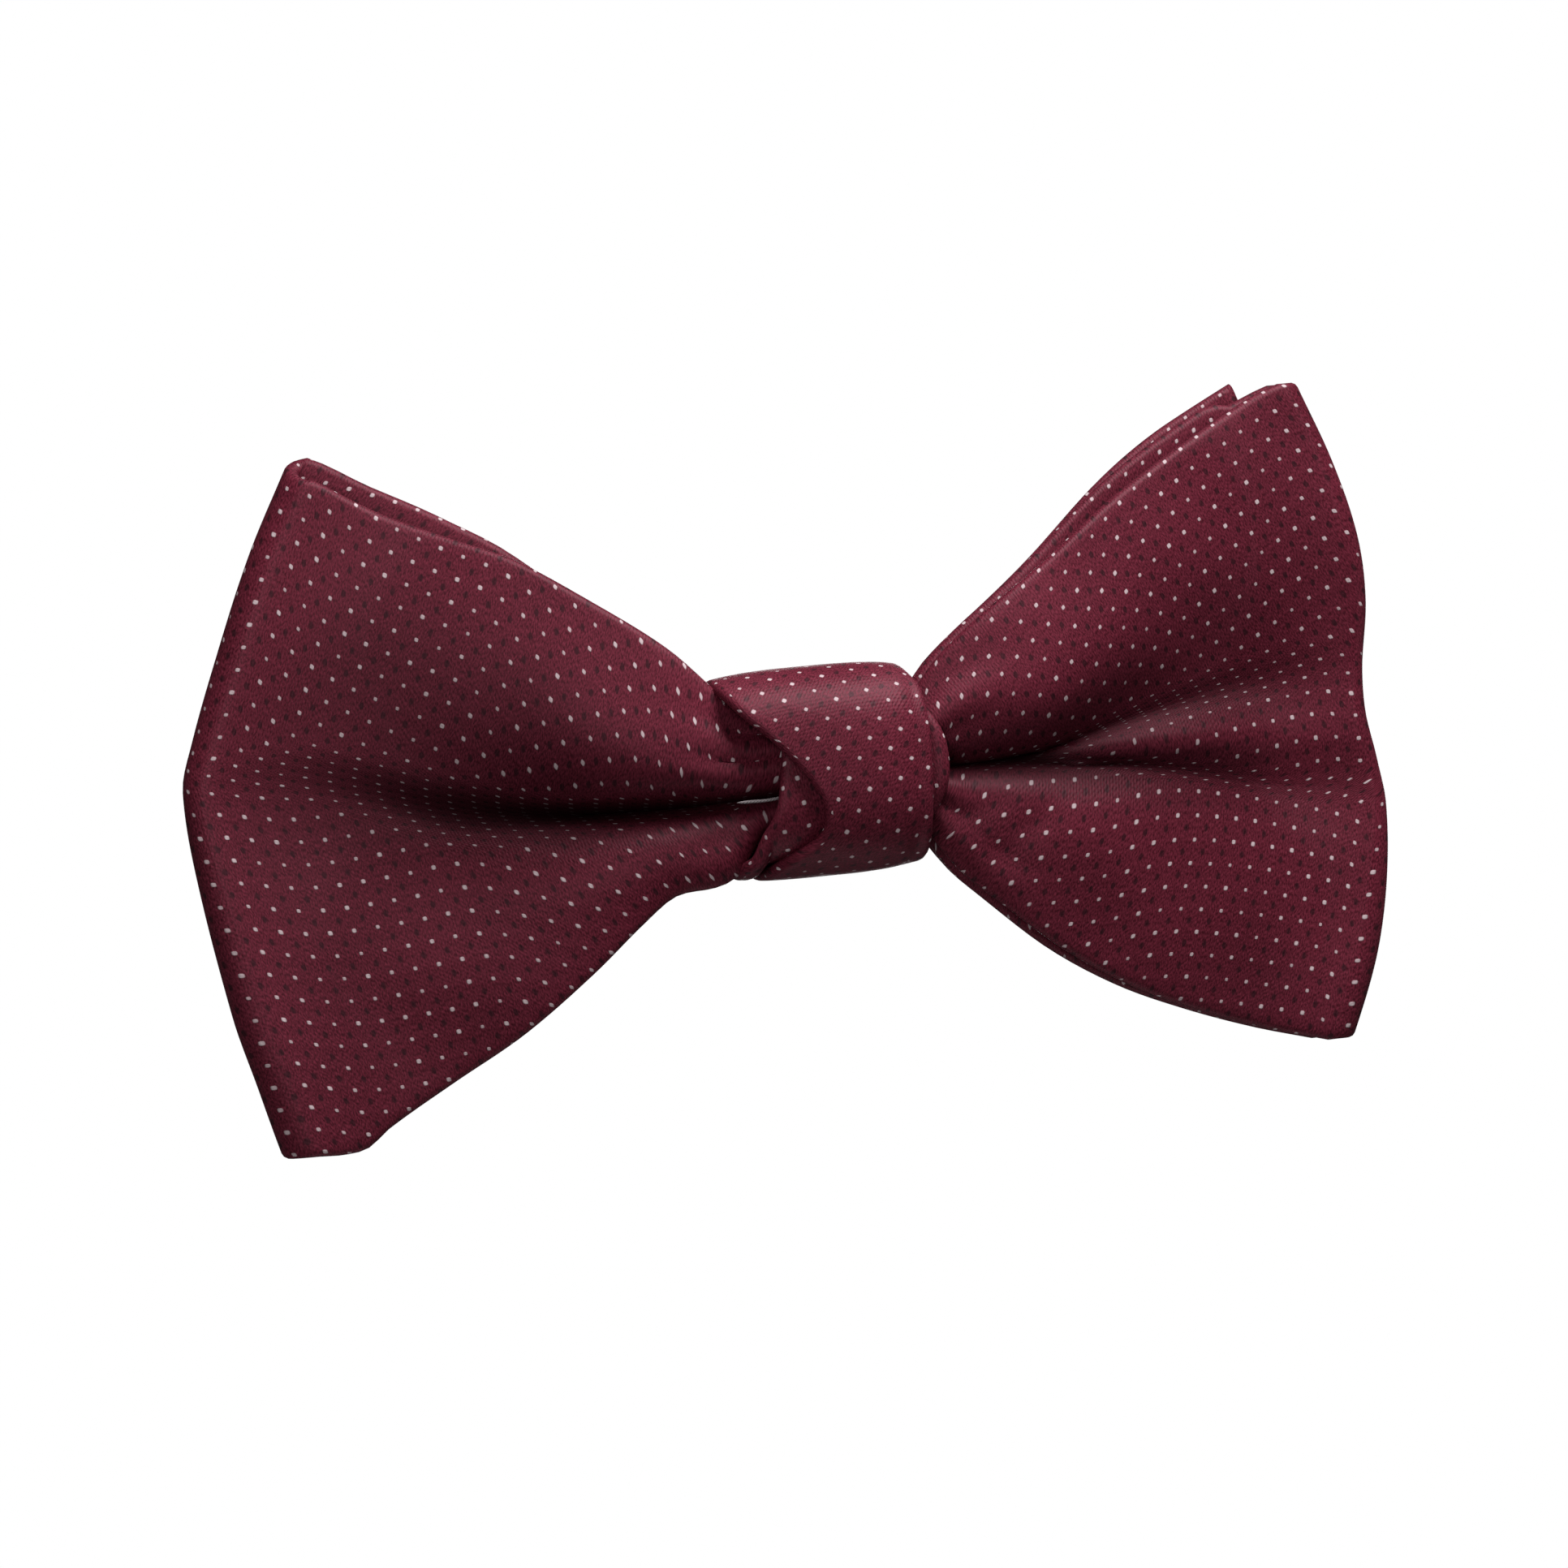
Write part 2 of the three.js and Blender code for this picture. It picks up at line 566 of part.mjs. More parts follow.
// A flat shape in the XZ plane, made solid from y = back - thickness to y = back.
function plateSolid(shape, thickness, back) {
  const geometry = new THREE.ExtrudeGeometry(shape, { ...FLAT_CUT, depth: thickness });
  geometry.rotateX(Math.PI / 2); // the shape's y becomes z, and its depth runs towards -y
  geometry.translate(0, back, 0);
  return solidOf(geometry);
}

// A side profile in the XY plane, made solid between two heights.
function profileSolid(shape, low, high) {
  const geometry = new THREE.ExtrudeGeometry(shape, { ...FLAT_CUT, depth: high - low });
  geometry.translate(0, 0, low);
  return solidOf(geometry);
}

function upright(radius, low, high, x, y, sides = 16) {
  const geometry = new THREE.CylinderGeometry(radius, radius, high - low, sides);
  geometry.rotateX(Math.PI / 2);
  geometry.translate(x, y, (low + high) / 2);
  return solidOf(geometry);
}

function polygon(points) {
  return new THREE.Shape(points.map(([x, y]) => new THREE.Vector2(x, y)));
}

function roundedBar(length, height, r) {
  const [a, b] = [length / 2, height / 2];
  const shape = new THREE.Shape();
  shape.moveTo(-a + r, -b);
  shape.lineTo(a - r, -b).absarc(a - r, -b + r, r, -Math.PI / 2, 0, false);
  shape.lineTo(a, b - r).absarc(a - r, b - r, r, 0, Math.PI / 2, false);
  shape.lineTo(-a + r, b).absarc(-a + r, b - r, r, Math.PI / 2, Math.PI, false);
  shape.lineTo(-a, -b + r).absarc(-a + r, -b + r, r, Math.PI, 1.5 * Math.PI, false);
  return shape;
}

const LUG_OUTSIDE = PLATE.height / 2;
const LUG_INSIDE = LUG_OUTSIDE - SHEET;
const EAR_OUTSIDE = LUG_INSIDE - CLEARANCE;
const EAR_INSIDE = EAR_OUTSIDE - SHEET;
const HOLE_RADIUS = PIN_RADIUS + PIN_PLAY;
const EAR_RADIUS = HOLE_RADIUS + EAR_RIM;

// Side profile of a lug: straight sides and a round top about the pin.
function lugShape() {
  const shape = new THREE.Shape();
  shape.moveTo(PIN_OUT - LUG_HALF_LENGTH, -PLATE.thickness / 2);
  shape.lineTo(PIN_OUT + LUG_HALF_LENGTH, -PLATE.thickness / 2);
  shape.lineTo(PIN_OUT + EAR_RADIUS, PIN_BACK);
  shape.absarc(PIN_OUT, PIN_BACK, EAR_RADIUS, 0, Math.PI, false);
  return shape;
}

function clipPlate() {
  let plate = plateSolid(roundedBar(PLATE_LENGTH, PLATE.height, PLATE.corner), PLATE.thickness, 0);
  const { width, height, corner, spread } = STITCH_SLOT;
  for (const side of [-1, 1]) {
    for (const end of [-1, 1]) {
      const lug = profileSolid(lugShape(), LUG_INSIDE, LUG_OUTSIDE);
      const turned = end > 0 ? lug : lug.mirror([0, 0, 1]);
      plate = plate.add(side > 0 ? turned : turned.mirror([1, 0, 0]));
      const slot = roundedBar(width, height, corner);
      const cut = plateSolid(slot, 3 * PLATE.thickness, PLATE.thickness);
      plate = plate.subtract(cut.translate([side * STITCH_OUT, 0, (end * spread) / 2]));
    }
    plate = plate.subtract(upright(HOLE_RADIUS, -PLATE.height, PLATE.height, side * PIN_OUT, PIN_BACK));
  }
  const pad = new THREE.BoxGeometry(PAD.width, PAD.rise + 0.2, PAD.height);
  pad.translate(0, PAD.rise / 2 - 0.1, 0);
  return geometryOf(plate.add(solidOf(pad)));
}

// The jaw on the right: a bent spine with a toothed biting edge and a thumb tab, and two ears on the pin.
function clipJaw() {
  const tip = PIN_OUT + JAW_REACH;
  const spine = polygon([
    [PIN_OUT - TAB_REACH, TAB_RISE],
    [PIN_OUT - 2, SPINE_RISE],
    [PIN_OUT + 2, SPINE_RISE],
    [tip - 2.6, JAW_GRIP_GAP],
    [tip - 0.5, CLEARANCE],
    [tip, CLEARANCE],
    [tip, CLEARANCE + 0.5],
    [tip - 2.3, JAW_GRIP_GAP + SHEET],
    [PIN_OUT + 2.2, SPINE_RISE + SHEET],
    [PIN_OUT - 2.1, SPINE_RISE + SHEET],
    [PIN_OUT - TAB_REACH, TAB_RISE + SHEET],
  ]);
  const web = polygon([
    [PIN_OUT - EAR_RADIUS, PIN_BACK],
    [PIN_OUT + 1.3, PIN_BACK - 1.25],
    [PIN_OUT + 7, JAW_GRIP_GAP + 1.2],
    [PIN_OUT + 2.1, SPINE_RISE + 0.3],
    [PIN_OUT - EAR_RADIUS, SPINE_RISE + 0.3],
  ]);
  const disc = upright(EAR_RADIUS, EAR_INSIDE, EAR_OUTSIDE, PIN_OUT, PIN_BACK, 20);
  const ear = profileSolid(web, EAR_INSIDE, EAR_OUTSIDE).add(disc);
  const jaw = profileSolid(spine, -EAR_OUTSIDE, EAR_OUTSIDE).add(ear).add(ear.mirror([0, 0, 1]));
  const bore = upright(HOLE_RADIUS, -PLATE.height, PLATE.height, PIN_OUT, PIN_BACK);
  return geometryOf(jaw.subtract(bore).subtract(toothGaps(tip)));
}

// The notches between the teeth of the biting edge.
function toothGaps(tip) {
  const { count, gap, depth } = TEETH;
  const pitch = (2 * EAR_OUTSIDE) / count;
  const [left, right, low, high] = [tip - depth, tip + 1, -1, 2];
  const square = polygon([[left, low], [right, low], [right, high], [left, high]]);
  const notches = [];
  for (let i = 1; i < count; i++) {
    const z = -EAR_OUTSIDE + i * pitch;
    notches.push(profileSolid(square, z - gap / 2, z + gap / 2));
  }
  return notches.reduce((all, notch) => all.add(notch));
}

// A hinge pin with a flattened head at each end.
function clipPin() {
  const { overhang, height } = PIN_HEAD;
  const radius = PIN_RADIUS + overhang;
  const reach = LUG_OUTSIDE + CLEARANCE;
  const pin = upright(PIN_RADIUS, -reach - height / 4, reach + height / 4, PIN_OUT, PIN_BACK);
  const top = upright(radius, reach, reach + height, PIN_OUT, PIN_BACK);
  const bottom = upright(radius, -reach - height, -reach, PIN_OUT, PIN_BACK);
  return geometryOf(pin.add(top).add(bottom));
}

// The torsion spring round the right pin: one leg lies on the plate, the other lifts the thumb tab.
function clipSpring() {
  const radius = PIN_RADIUS + CLEARANCE + COIL_WIRE / 2;
  const perTurn = 10;
  const half = (COIL_TURNS * COIL_PITCH) / 2;
  const legReach = TAB_REACH - 2.2;
  const clear = CLEARANCE + COIL_WIRE / 2;
  const tabSlope = (TAB_RISE - SPINE_RISE) / (TAB_REACH - 2);
  const points = [vec(PIN_OUT - legReach, clear, -half), vec(PIN_OUT - 1.6, PIN_BACK - radius - 0.4, -half)];
  for (let i = 0; i <= COIL_TURNS * perTurn; i++) {
    const turn = -Math.PI / 2 + (2 * Math.PI * i) / perTurn;
    const z = -half + COIL_PITCH * (i / perTurn);
    points.push(vec(PIN_OUT + radius * Math.cos(turn), PIN_BACK + radius * Math.sin(turn), z));
  }
  points.push(vec(PIN_OUT - 2.2, PIN_BACK + radius + 0.05, half + 0.1));
  points.push(vec(PIN_OUT - legReach, SPINE_RISE + tabSlope * (legReach - 2) - clear - 0.05, half + 0.1));
  return threadGeometry(points, COIL_WIRE, 64);
}

// ---------- assembly ----------

function clothParts() {
  const group = new THREE.Group();
  const front = frontBowRows();
  const rear = rearBowRows();
  group.add(
    named("front_bow_shell", turnedTube(front), clothMaterial()),
    named("front_bow_interlining", interliningOf(front), interliningMaterial()),
    named("rear_bow_shell", turnedTube(rear), clothMaterial()),
    named("rear_bow_interlining", interliningOf(rear), interliningMaterial()),
    named("knot_wrap", knotWrap(), clothMaterial()),
    named("knot_under_wrap", knotUnderWrap(), clothMaterial()),
  );
  return group;
}

function threadParts() {
  const group = new THREE.Group();
  const stitch = clipStitch();
  group.add(
    named("gather_thread", gatherThread(), threadMaterial()),
    named("front_bow_end_seam", endSeamThread(), threadMaterial()),
    named("wrap_seam_thread", wrapSeamThread(), threadMaterial()),
    named("clip_stitch_right", stitch, threadMaterial()),
    named("clip_stitch_left", mirrored(stitch), threadMaterial()),
  );
  return group;
}

function clipParts() {
  const group = new THREE.Group();
  const pieces = { clip_jaw: clipJaw(), clip_pin: clipPin(), clip_spring: clipSpring() };
  group.add(named("clip_plate", clipPlate(), steelMaterial()));
  for (const [name, geometry] of Object.entries(pieces)) {
    group.add(named(`${name}_right`, geometry, steelMaterial()));
    group.add(named(`${name}_left`, mirrored(geometry), steelMaterial()));
  }
  for (const mesh of group.children) mesh.geometry.translate(0, PLATE_BACK, 0);
  return group;
}

const bowTie = new THREE.Group();
bowTie.add(clothParts(), threadParts(), clipParts());

export default bowTie;
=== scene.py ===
"""Looks of a clip-on bow tie in burgundy pin-dot satin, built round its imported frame.

Every shape is worked out in millimetres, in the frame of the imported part: +X is to the right of someone who
looks at the tie, +Z is up, and the front faces -Y. The cloth is drawn finer than in the frame: two bows of
turned cloth with a felt inside, gathered by a thread and held by two turns of a wrap.
"""

import logging
import math
from dataclasses import dataclass, field
from enum import Enum
from typing import Callable

import bpy
import numpy as np
from mathutils import Matrix, Vector

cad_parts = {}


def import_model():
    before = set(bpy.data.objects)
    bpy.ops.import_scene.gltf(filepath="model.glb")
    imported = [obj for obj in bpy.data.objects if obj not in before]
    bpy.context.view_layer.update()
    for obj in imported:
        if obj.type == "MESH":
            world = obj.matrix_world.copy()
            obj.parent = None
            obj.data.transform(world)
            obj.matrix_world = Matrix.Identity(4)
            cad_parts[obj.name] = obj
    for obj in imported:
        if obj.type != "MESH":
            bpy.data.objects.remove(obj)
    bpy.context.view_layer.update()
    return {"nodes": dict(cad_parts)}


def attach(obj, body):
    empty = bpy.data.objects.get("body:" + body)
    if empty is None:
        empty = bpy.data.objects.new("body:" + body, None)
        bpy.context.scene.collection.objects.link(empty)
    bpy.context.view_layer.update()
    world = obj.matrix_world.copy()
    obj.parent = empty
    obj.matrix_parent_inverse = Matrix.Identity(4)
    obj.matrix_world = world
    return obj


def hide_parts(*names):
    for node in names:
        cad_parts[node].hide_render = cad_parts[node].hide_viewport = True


Array = np.ndarray
Pairs = tuple[tuple[float, float], ...]
Colour = tuple[float, float, float]
Point = tuple[float, float, float]

MM = 0.001
DOT_PITCH = 2.2  # of the pin dots along and across the cloth
WEAVE_MAP = "weave"
# name of the point attribute of painted crease shade
PAINTED_SHADE_MAP = "painted_shade"

log = logging.getLogger("bow_tie")


class Slot(Enum):
    """The record's material slots."""

    CLOTH = "face_cloth"
    FELT = "interlining_felt"
    SEWING = "sewing_thread"
    GATHERING = "gathering_thread"
    STEEL = "clip_steel"
    WIRE = "spring_wire"


class Body(Enum):
    """The bodies that pieces ride on."""

    TIE = "tie"


# ---------- numbers and curves ----------


def ease(t: Array | float) -> Array:
    """Smooth step: 3t² - 2t³ with t held between 0 and 1."""
    t = np.clip(t, 0.0, 1.0)
    return t * t * (3.0 - 2.0 * t)


def lerp(a: Array | float, b: Array | float, t: Array | float) -> Array:
    """The value at the share t of the way from a to b."""
    return a + (b - a) * t


def bell(distance: Array, power: Array | float = 2.0) -> Array:
    """exp(-|distance|^power): 1 at no distance, and it fades to nothing."""
    return np.exp(-np.abs(distance) ** power)


@dataclass(frozen=True)
class Course:
    """A smooth curve through listed (place, value) pairs: cubic pieces that share their slopes."""

    pairs: Pairs

    def at(self, place: Array | float) -> Array:
        """The value at each place.

        Args:
            place: where the curve is asked for; beyond the ends it holds its end values.

        Returns:
            The values, shaped as place is.
        """
        places, values = np.array(self.pairs, float).T
        x = np.clip(place, places[0], places[-1])
        index = np.arange(len(places))
        before = np.maximum(index - 1, 0)
        after = np.minimum(index + 1, len(places) - 1)
        slopes = (values[after] - values[before]) / (places[after] - places[before])
        k = np.clip(np.searchsorted(places, x, side="right") - 1, 0, len(places) - 2)
        width = places[k + 1] - places[k]
        t = (x - places[k]) / width
        rise = values[k + 1] - values[k]
        a = slopes[k] * width
        b = slopes[k + 1] * width
        return values[k] + t * (a + t * (3 * rise - 2 * a - b + t * (a + b - 2 * rise)))


def unit(vectors: Array) -> Array:
    """Vectors of length 1 in the same directions."""
    return vectors / np.maximum(np.linalg.norm(vectors, axis=-1, keepdims=True), 1e-12)


def travelled(points: Array, axis: int = 0) -> Array:
    """Length of the way along an axis of a grid of points, from its first point to each.

    Args:
        points: the grid, with x, y and z last.
        axis: the axis to go along.

    Returns:
        The lengths, shaped as the grid is.
    """
    steps = np.linalg.norm(np.diff(points, axis=axis), axis=-1)
    start = np.zeros_like(np.take(steps, [0], axis=axis))
    return np.concatenate([start, np.cumsum(steps, axis=axis)], axis=axis)


def resampled(points: Array, count: int, closed: bool = False) -> Array:
    """A path's points, set at equal distances along it.

    Args:
        points: the path, n by 3.
        count: how many points come out.
        closed: whether the path's last point is its first one, which is then left out.

    Returns:
        count points by 3.
    """
    way = travelled(points)
    places = np.linspace(0.0, way[-1], count, endpoint=not closed)
    return np.stack([np.interp(places, way, points[:, axis]) for axis in range(3)], axis=-1)


# ---------- meshes ----------


@dataclass
class Surface:
    """Points and four-cornered faces, with a place on the flat cloth for each corner of each face.

    The painted shade value gives for each point how strongly its colour is darkened as painted shade in a crease,
    from 0 to 1.
    """

    points: Array
    faces: Array
    corners: Array
    painted_shade: Array | None = None

    @staticmethod
    def joined(parts: "list[Surface]") -> "Surface":
        """Several surfaces over one list of points each, put one after another.

        Args:
            parts: the surfaces, none with painted shade.

        Returns:
            One surface.
        """
        starts = np.cumsum([0] + [len(part.points) for part in parts[:-1]])
        return Surface(
            np.concatenate([part.points for part in parts]),
            np.concatenate([part.faces + start for part, start in zip(parts, starts)]),
            np.concatenate([part.corners for part in parts]),
        )

    def volume(self) -> float:
        """Signed volume: a sixth of the sum of a·(b×c) over the two triangles of every face.

        Returns:
            Cubic millimetres, above 0 where the faces look outwards.
        """
        a, b, c, d = (self.points[self.faces[:, k]] for k in range(4))
        first = np.einsum("ij,ij->i", a, np.cross(b, c))
        second = np.einsum("ij,ij->i", a, np.cross(c, d))
        return float((first + second).sum() / 6.0)

    def facing_outwards(self) -> "Surface":
        """The same surface, turned round if its faces look inwards.

        Returns:
            The surface with its faces outwards.
        """
        if self.volume() >= 0:
            return self
        return Surface(self.points, self.faces[:, ::-1], self.corners[:, ::-1], self.painted_shade)


def grid_surface(points: Array, flat: Array, across_closed: bool, along_closed: bool = False) -> Surface:
    """Faces over a grid of points.

    Args:
        points: rows by columns by 3.
        flat: (rows, or rows + 1 where closed) by (columns, or columns + 1) by 2: places on the flat cloth.
        across_closed: whether each row's last point joins its first.
        along_closed: whether the last row joins the first.

    Returns:
        The surface, with one face between neighbouring points.
    """
    rows, columns = points.shape[:2]
    i = np.arange(rows if along_closed else rows - 1)[:, None]
    k = np.arange(columns if across_closed else columns - 1)[None, :]
    below, beside = (i + 1) % rows, (k + 1) % columns
    quads = [i * columns + k, i * columns + beside, below * columns + beside, below * columns + k]
    faces = np.stack([np.broadcast_to(q, (i.size, k.size)) for q in quads], axis=-1).reshape(-1, 4)
    corners = np.stack([flat[i, k], flat[i, k + 1], flat[i + 1, k + 1], flat[i + 1, k]], axis=-2)
    return Surface(points.reshape(-1, 3), faces, corners.reshape(-1, 4, 2))


def sheet_normals(middle: Array, closed: bool) -> Array:
    """Unit normals of a grid of points: the cross product of the steps along and across it.

    Args:
        middle: rows by columns by 3, in millimetres.
        closed: whether the last row joins the first.

    Returns:
        rows by columns by 3.
    """
    if closed:
        along = np.roll(middle, -1, axis=0) - np.roll(middle, 1, axis=0)
    else:
        along = np.gradient(middle, axis=0)
    return unit(np.cross(along, np.gradient(middle, axis=1)))


ARC_STEPS = 5  # round each edge of a sheet
EDGE_TURN = 2.2  # length of cloth round an edge


def rings_round(middle: Array, half: float, closed: bool = False) -> Array:
    """Rings of points round the rows of a thin sheet.

    Each ring runs along one face (the middle surface less half a thickness along its normal), round the edge in a
    half circle, back along the other face, and round the other edge.

    Args:
        middle: rows by columns by 3, the sheet's middle surface.
        half: half its thickness.
        closed: whether the last row joins the first.

    Returns:
        rows by (2 × columns + 2 × ARC_STEPS) by 3.
    """
    normals = sheet_normals(middle, closed)
    angles = np.linspace(0, math.pi, ARC_STEPS + 2)[1:-1]
    cosines, sines = np.cos(angles)[None, :, None], np.sin(angles)[None, :, None]

    def arc(edge: int, inner: int, first: float) -> Array:
        """Half a circle of points round one edge, from one face to the other."""
        out = unit(middle[:, edge] - middle[:, inner])[:, None]
        return middle[:, edge][:, None] + half * (first * cosines * normals[:, edge][:, None] + sines * out)

    low, high = middle - half * normals, (middle + half * normals)[:, ::-1]
    return np.concatenate([low, arc(-1, -2, -1.0), high, arc(0, 1, 1.0)], axis=1)


def ring_places(across: Array) -> Array:
    """How far across the flat cloth each point of a ring lies, with one more for the ring's return.

    Args:
        across: rows by columns, the places of the middle surface's points.

    Returns:
        rows by (2 × columns + 2 × ARC_STEPS + 1). The second face goes on from where the first one ends.
    """
    share = EDGE_TURN * np.linspace(0, 1, ARC_STEPS + 2)[1:-1][None, :]
    top, bottom = across[:, -1:], across[:, :1]
    high = 2 * top + EDGE_TURN - across[:, ::-1]
    end = 2 * top + EDGE_TURN - bottom
    return np.concatenate([across, top + share, high, end + share, end + EDGE_TURN], axis=1)


def ring_values(values: Array) -> Array:
    """The middle surface's values on the rings round it, as rings_round orders them."""
    top, bottom = (np.repeat(values[:, [edge]], ARC_STEPS, axis=1) for edge in (-1, 0))
    return np.concatenate([values, top, values[:, ::-1], bottom], axis=1)


def ring_flat(flat: Array) -> Array:
    """Places on the flat cloth of the rings, in dot pitches, from those of the middle surface, in millimetres.

    Args:
        flat: rows by columns by 2, along and across the cloth.

    Returns:
        rows by (2 × columns + 2 × ARC_STEPS + 1) by 2.
    """
    along = ring_values(flat[..., 0])
    along = np.concatenate([along, along[:, :1]], axis=1)
    return np.stack([along, ring_places(flat[..., 1])], axis=-1) / DOT_PITCH


@dataclass(frozen=True)
class ClothPlaces:
    """Places on the flat cloth of the rings of a bow's left and right wing.

    The two wings are measured each from its own outer edge, and meet unseen in the knot.
    """

    left: Array
    right: Array

    def over(self, rings: Array) -> Surface:
        """The surface through rings of points, each wing with its own places.

        Args:
            rings: rows by columns by 3, in millimetres.

        Returns:
            The surface, closed across and open along.
        """
        count = len(self.left)
        whole = grid_surface(rings, np.concatenate([self.left, self.right[1:]]), across_closed=True)
        columns = rings.shape[1]
        seam = grid_surface(rings[count - 1 : count + 1], self.right[:2], across_closed=True)
        whole.corners[(count - 1) * columns : count * columns] = seam.corners
        return whole


def rim_between(outer: Array, inner: Array, row: int) -> Array:
    """Faces that join one end row of an outer tube to that of an inner one, whose points follow the outer's.

    Args:
        outer: the outer rings, rows by columns by 3.
        inner: the inner rings, of the same shape; not used.
        row: 0 for the first row or -1 for the last.

    Returns:
        columns by 4 point numbers.
    """
    rows, columns = outer.shape[:2]
    k = np.arange(columns)
    beside = (k + 1) % columns
    start = 0 if row == 0 else (rows - 1) * columns
    shift = rows * columns
    faces = np.stack([start + k, start + beside, shift + start + beside, shift + start + k], axis=-1)
    return faces[:, ::-1] if row == 0 else faces


def turned_tube(middle: Array, pocket: Array, half: float, pocket_half: float, places: ClothPlaces) -> Surface:
    """A sewn and turned tube of cloth: an outer skin, the pocket's skin inside it, and a rim at each open end.

    Args:
        middle: rows by columns by 3, the middle surface of the tube.
        pocket: the same for the pocket, which is narrower by the seam allowances.
        half: half the tube's thickness.
        pocket_half: half the pocket's.
        places: places on the flat cloth.

    Returns:
        The closed surface.
    """
    outer, inner = rings_round(middle, half), rings_round(pocket, pocket_half)
    skin, lining = places.over(outer), places.over(inner)
    inside = Surface(lining.points, lining.faces[:, ::-1], lining.corners[:, ::-1])
    tube = Surface.joined([skin, inside])
    rims = np.concatenate([rim_between(outer, inner, 0), rim_between(outer, inner, -1)])
    corners = np.zeros((len(rims), 4, 2))
    return Surface(tube.points, np.concatenate([tube.faces, rims]), np.concatenate([tube.corners, corners]))


def with_ends(skin: Surface, end: Array, size: int) -> Surface:
    """Closes both ends of a tube with the same faces, turned round at the first.

    Args:
        skin: the tube, open at its first and last row.
        end: the faces over the first row's points.
        size: how many points a row has.

    Returns:
        The closed surface.
    """
    faces = np.concatenate([skin.faces, end[:, ::-1], end + len(skin.points) - size])
    return Surface(skin.points, faces, np.concatenate([skin.corners, np.zeros((2 * len(end), 4, 2))]))


def capped_sheet(middle: Array, half: float) -> Surface:
    """A thin closed sheet with rounded long edges and flat ends.

    Args:
        middle: rows by columns by 3.
        half: half the thickness.

    Returns:
        The closed surface: the end faces join each point of one face to the one behind it.
    """
    rings = rings_round(middle, half)
    size = rings.shape[1]
    flat = ring_flat(np.stack([travelled(middle), travelled(middle, axis=1)], axis=-1))
    skin = grid_surface(rings, flat, across_closed=True)
    start = np.arange(size // 2) - ARC_STEPS // 2 - 1
    mirror = size - ARC_STEPS - 1 - start
    ends = np.stack([start, start + 1, mirror - 1, mirror], axis=-1) % size
    return with_ends(skin, ends, size)


def linked(name: str, data: bpy.types.ID) -> bpy.types.Object:
    """Puts a new object with this data into the scene.

    Args:
        name: the object's name.
        data: its mesh, light or camera.

    Returns:
        The object.
    """
    thing = bpy.data.objects.new(name, data)
    bpy.context.scene.collection.objects.link(thing)
    return thing


def add_piece(name: str, surface: Surface, material: bpy.types.Material) -> bpy.types.Object:
    """Puts a surface into the scene as a smooth mesh that rides on the tie.

    Args:
        name: the piece's name.
        surface: its points, in millimetres, and faces.
        material: its finish.

    Returns:
        The new object, at the origin.
    """
    surface = surface.facing_outwards()
    mesh = bpy.data.meshes.new(name)
    mesh.from_pydata((surface.points * MM).tolist(), [], surface.faces.tolist())
    layer = mesh.uv_layers.new(name=WEAVE_MAP)
    layer.data.foreach_set("uv", surface.corners.astype(np.float32).ravel())
    # the painted crease shade, as a point attribute that darkens the satin's colour
    if surface.painted_shade is not None:
        painted_shade = mesh.attributes.new(PAINTED_SHADE_MAP, "FLOAT", "POINT")
        painted_shade.data.foreach_set("value", surface.painted_shade.astype(np.float32).ravel())
    mesh.polygons.foreach_set("use_smooth", np.ones(len(mesh.polygons), bool))
    mesh.materials.append(material)
    mesh.update()
    piece = linked(name, mesh)
    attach(piece, Body.TIE.value)
    return piece


# ---------- the shape of the bows ----------


@dataclass(frozen=True)
class Layers:
    """Depths of the middle surfaces: in the knot, and at the outer edges of the wings."""

    front_middle: float = -15.225
    front_edge: float = -7.4
    back_middle: float = -10.58
    back_edge: float = -3.5
    rear_middle: float = -6.775
    rear_edge: float = -1.2
    crest_at: float = 0.28
    crest_rise: float = 1.0
    curl_middle: float = 2.2
    curl_edge: float = 0.7
    rear_curl: float = 1.65
    curl_power: float = 2.5

    def back(self, u: Array) -> Array:
        """Depth of the back leaf: an eased way from the knot to the edge."""
        return lerp(self.back_middle, self.back_edge, ease(u))

    def front_sweep(self, u: Array) -> Array:
        """Depth of the front leaf without its relief: forward to the crest, then back to the edge.

        Args:
            u: shares of the way out, from 0 in the middle to 1 at the outer edge.

        Returns:
            The depths, in millimetres.
        """
        crest = self.front_middle - self.crest_rise
        rise = lerp(self.front_middle, crest, ease(u / self.crest_at))
        fall = lerp(crest, self.front_edge, ease((u - self.crest_at) / (1 - self.crest_at)))
        return np.where(u < self.crest_at, rise, fall)


LAYERS = Layers()
PLEATS_AT, PLEATS_REACH = 0.17, 0.12  # middle and half width of the pleated stretch, in shares of the way out
PLEATS_PARTED = 0.25  # half height of the smooth cloth between the upper and the lower pleats
PLEAT_TURNS = (2.1, 0.8, 0.15)  # of the cosine: up the cloth, outwards, and at the start
RIPPLE_HEIGHTS = (0.14, 0.08, 0.035)
RIPPLES_FULL_AT = 0.3  # share of the way out
FLAT_TOPPED = 3.0  # power of the bell of painted shade over a crease's core
SKIRT_ABOVE, SKIRT_BELOW = 0.5, 0.85  # strength of the softer painted shade beside the core
SKIRT_WIDTH = 1.3  # width of that painted shade, in widths of the crease
BLEND_WIDTH = 2.2  # over which one lobe's dots turn into the next's, in cores of the crease


@dataclass(frozen=True)
class Crease:
    """A valley that runs out from the knot.

    Its line gives its height at distances from the middle, its depth goes by the share of the way out, and it is
    as wide above and below that line as the two courses say, in shares of the wing's half height. Along the line the
    cloth's colour is darkened with painted shade, standing for a fold that goes on inwards as a narrow gap, as
    strongly as shade says and core millimetres wide.
    """

    line: Course
    depth: Course
    above: Course
    below: Course
    power: Course
    shade: Course
    core: Course

    def width(self, u: Array, away: Array) -> Array:
        """Half width of the valley at u, on the side of its line that the sign of away tells."""
        return np.where(away > 0, self.above.at(u), self.below.at(u))


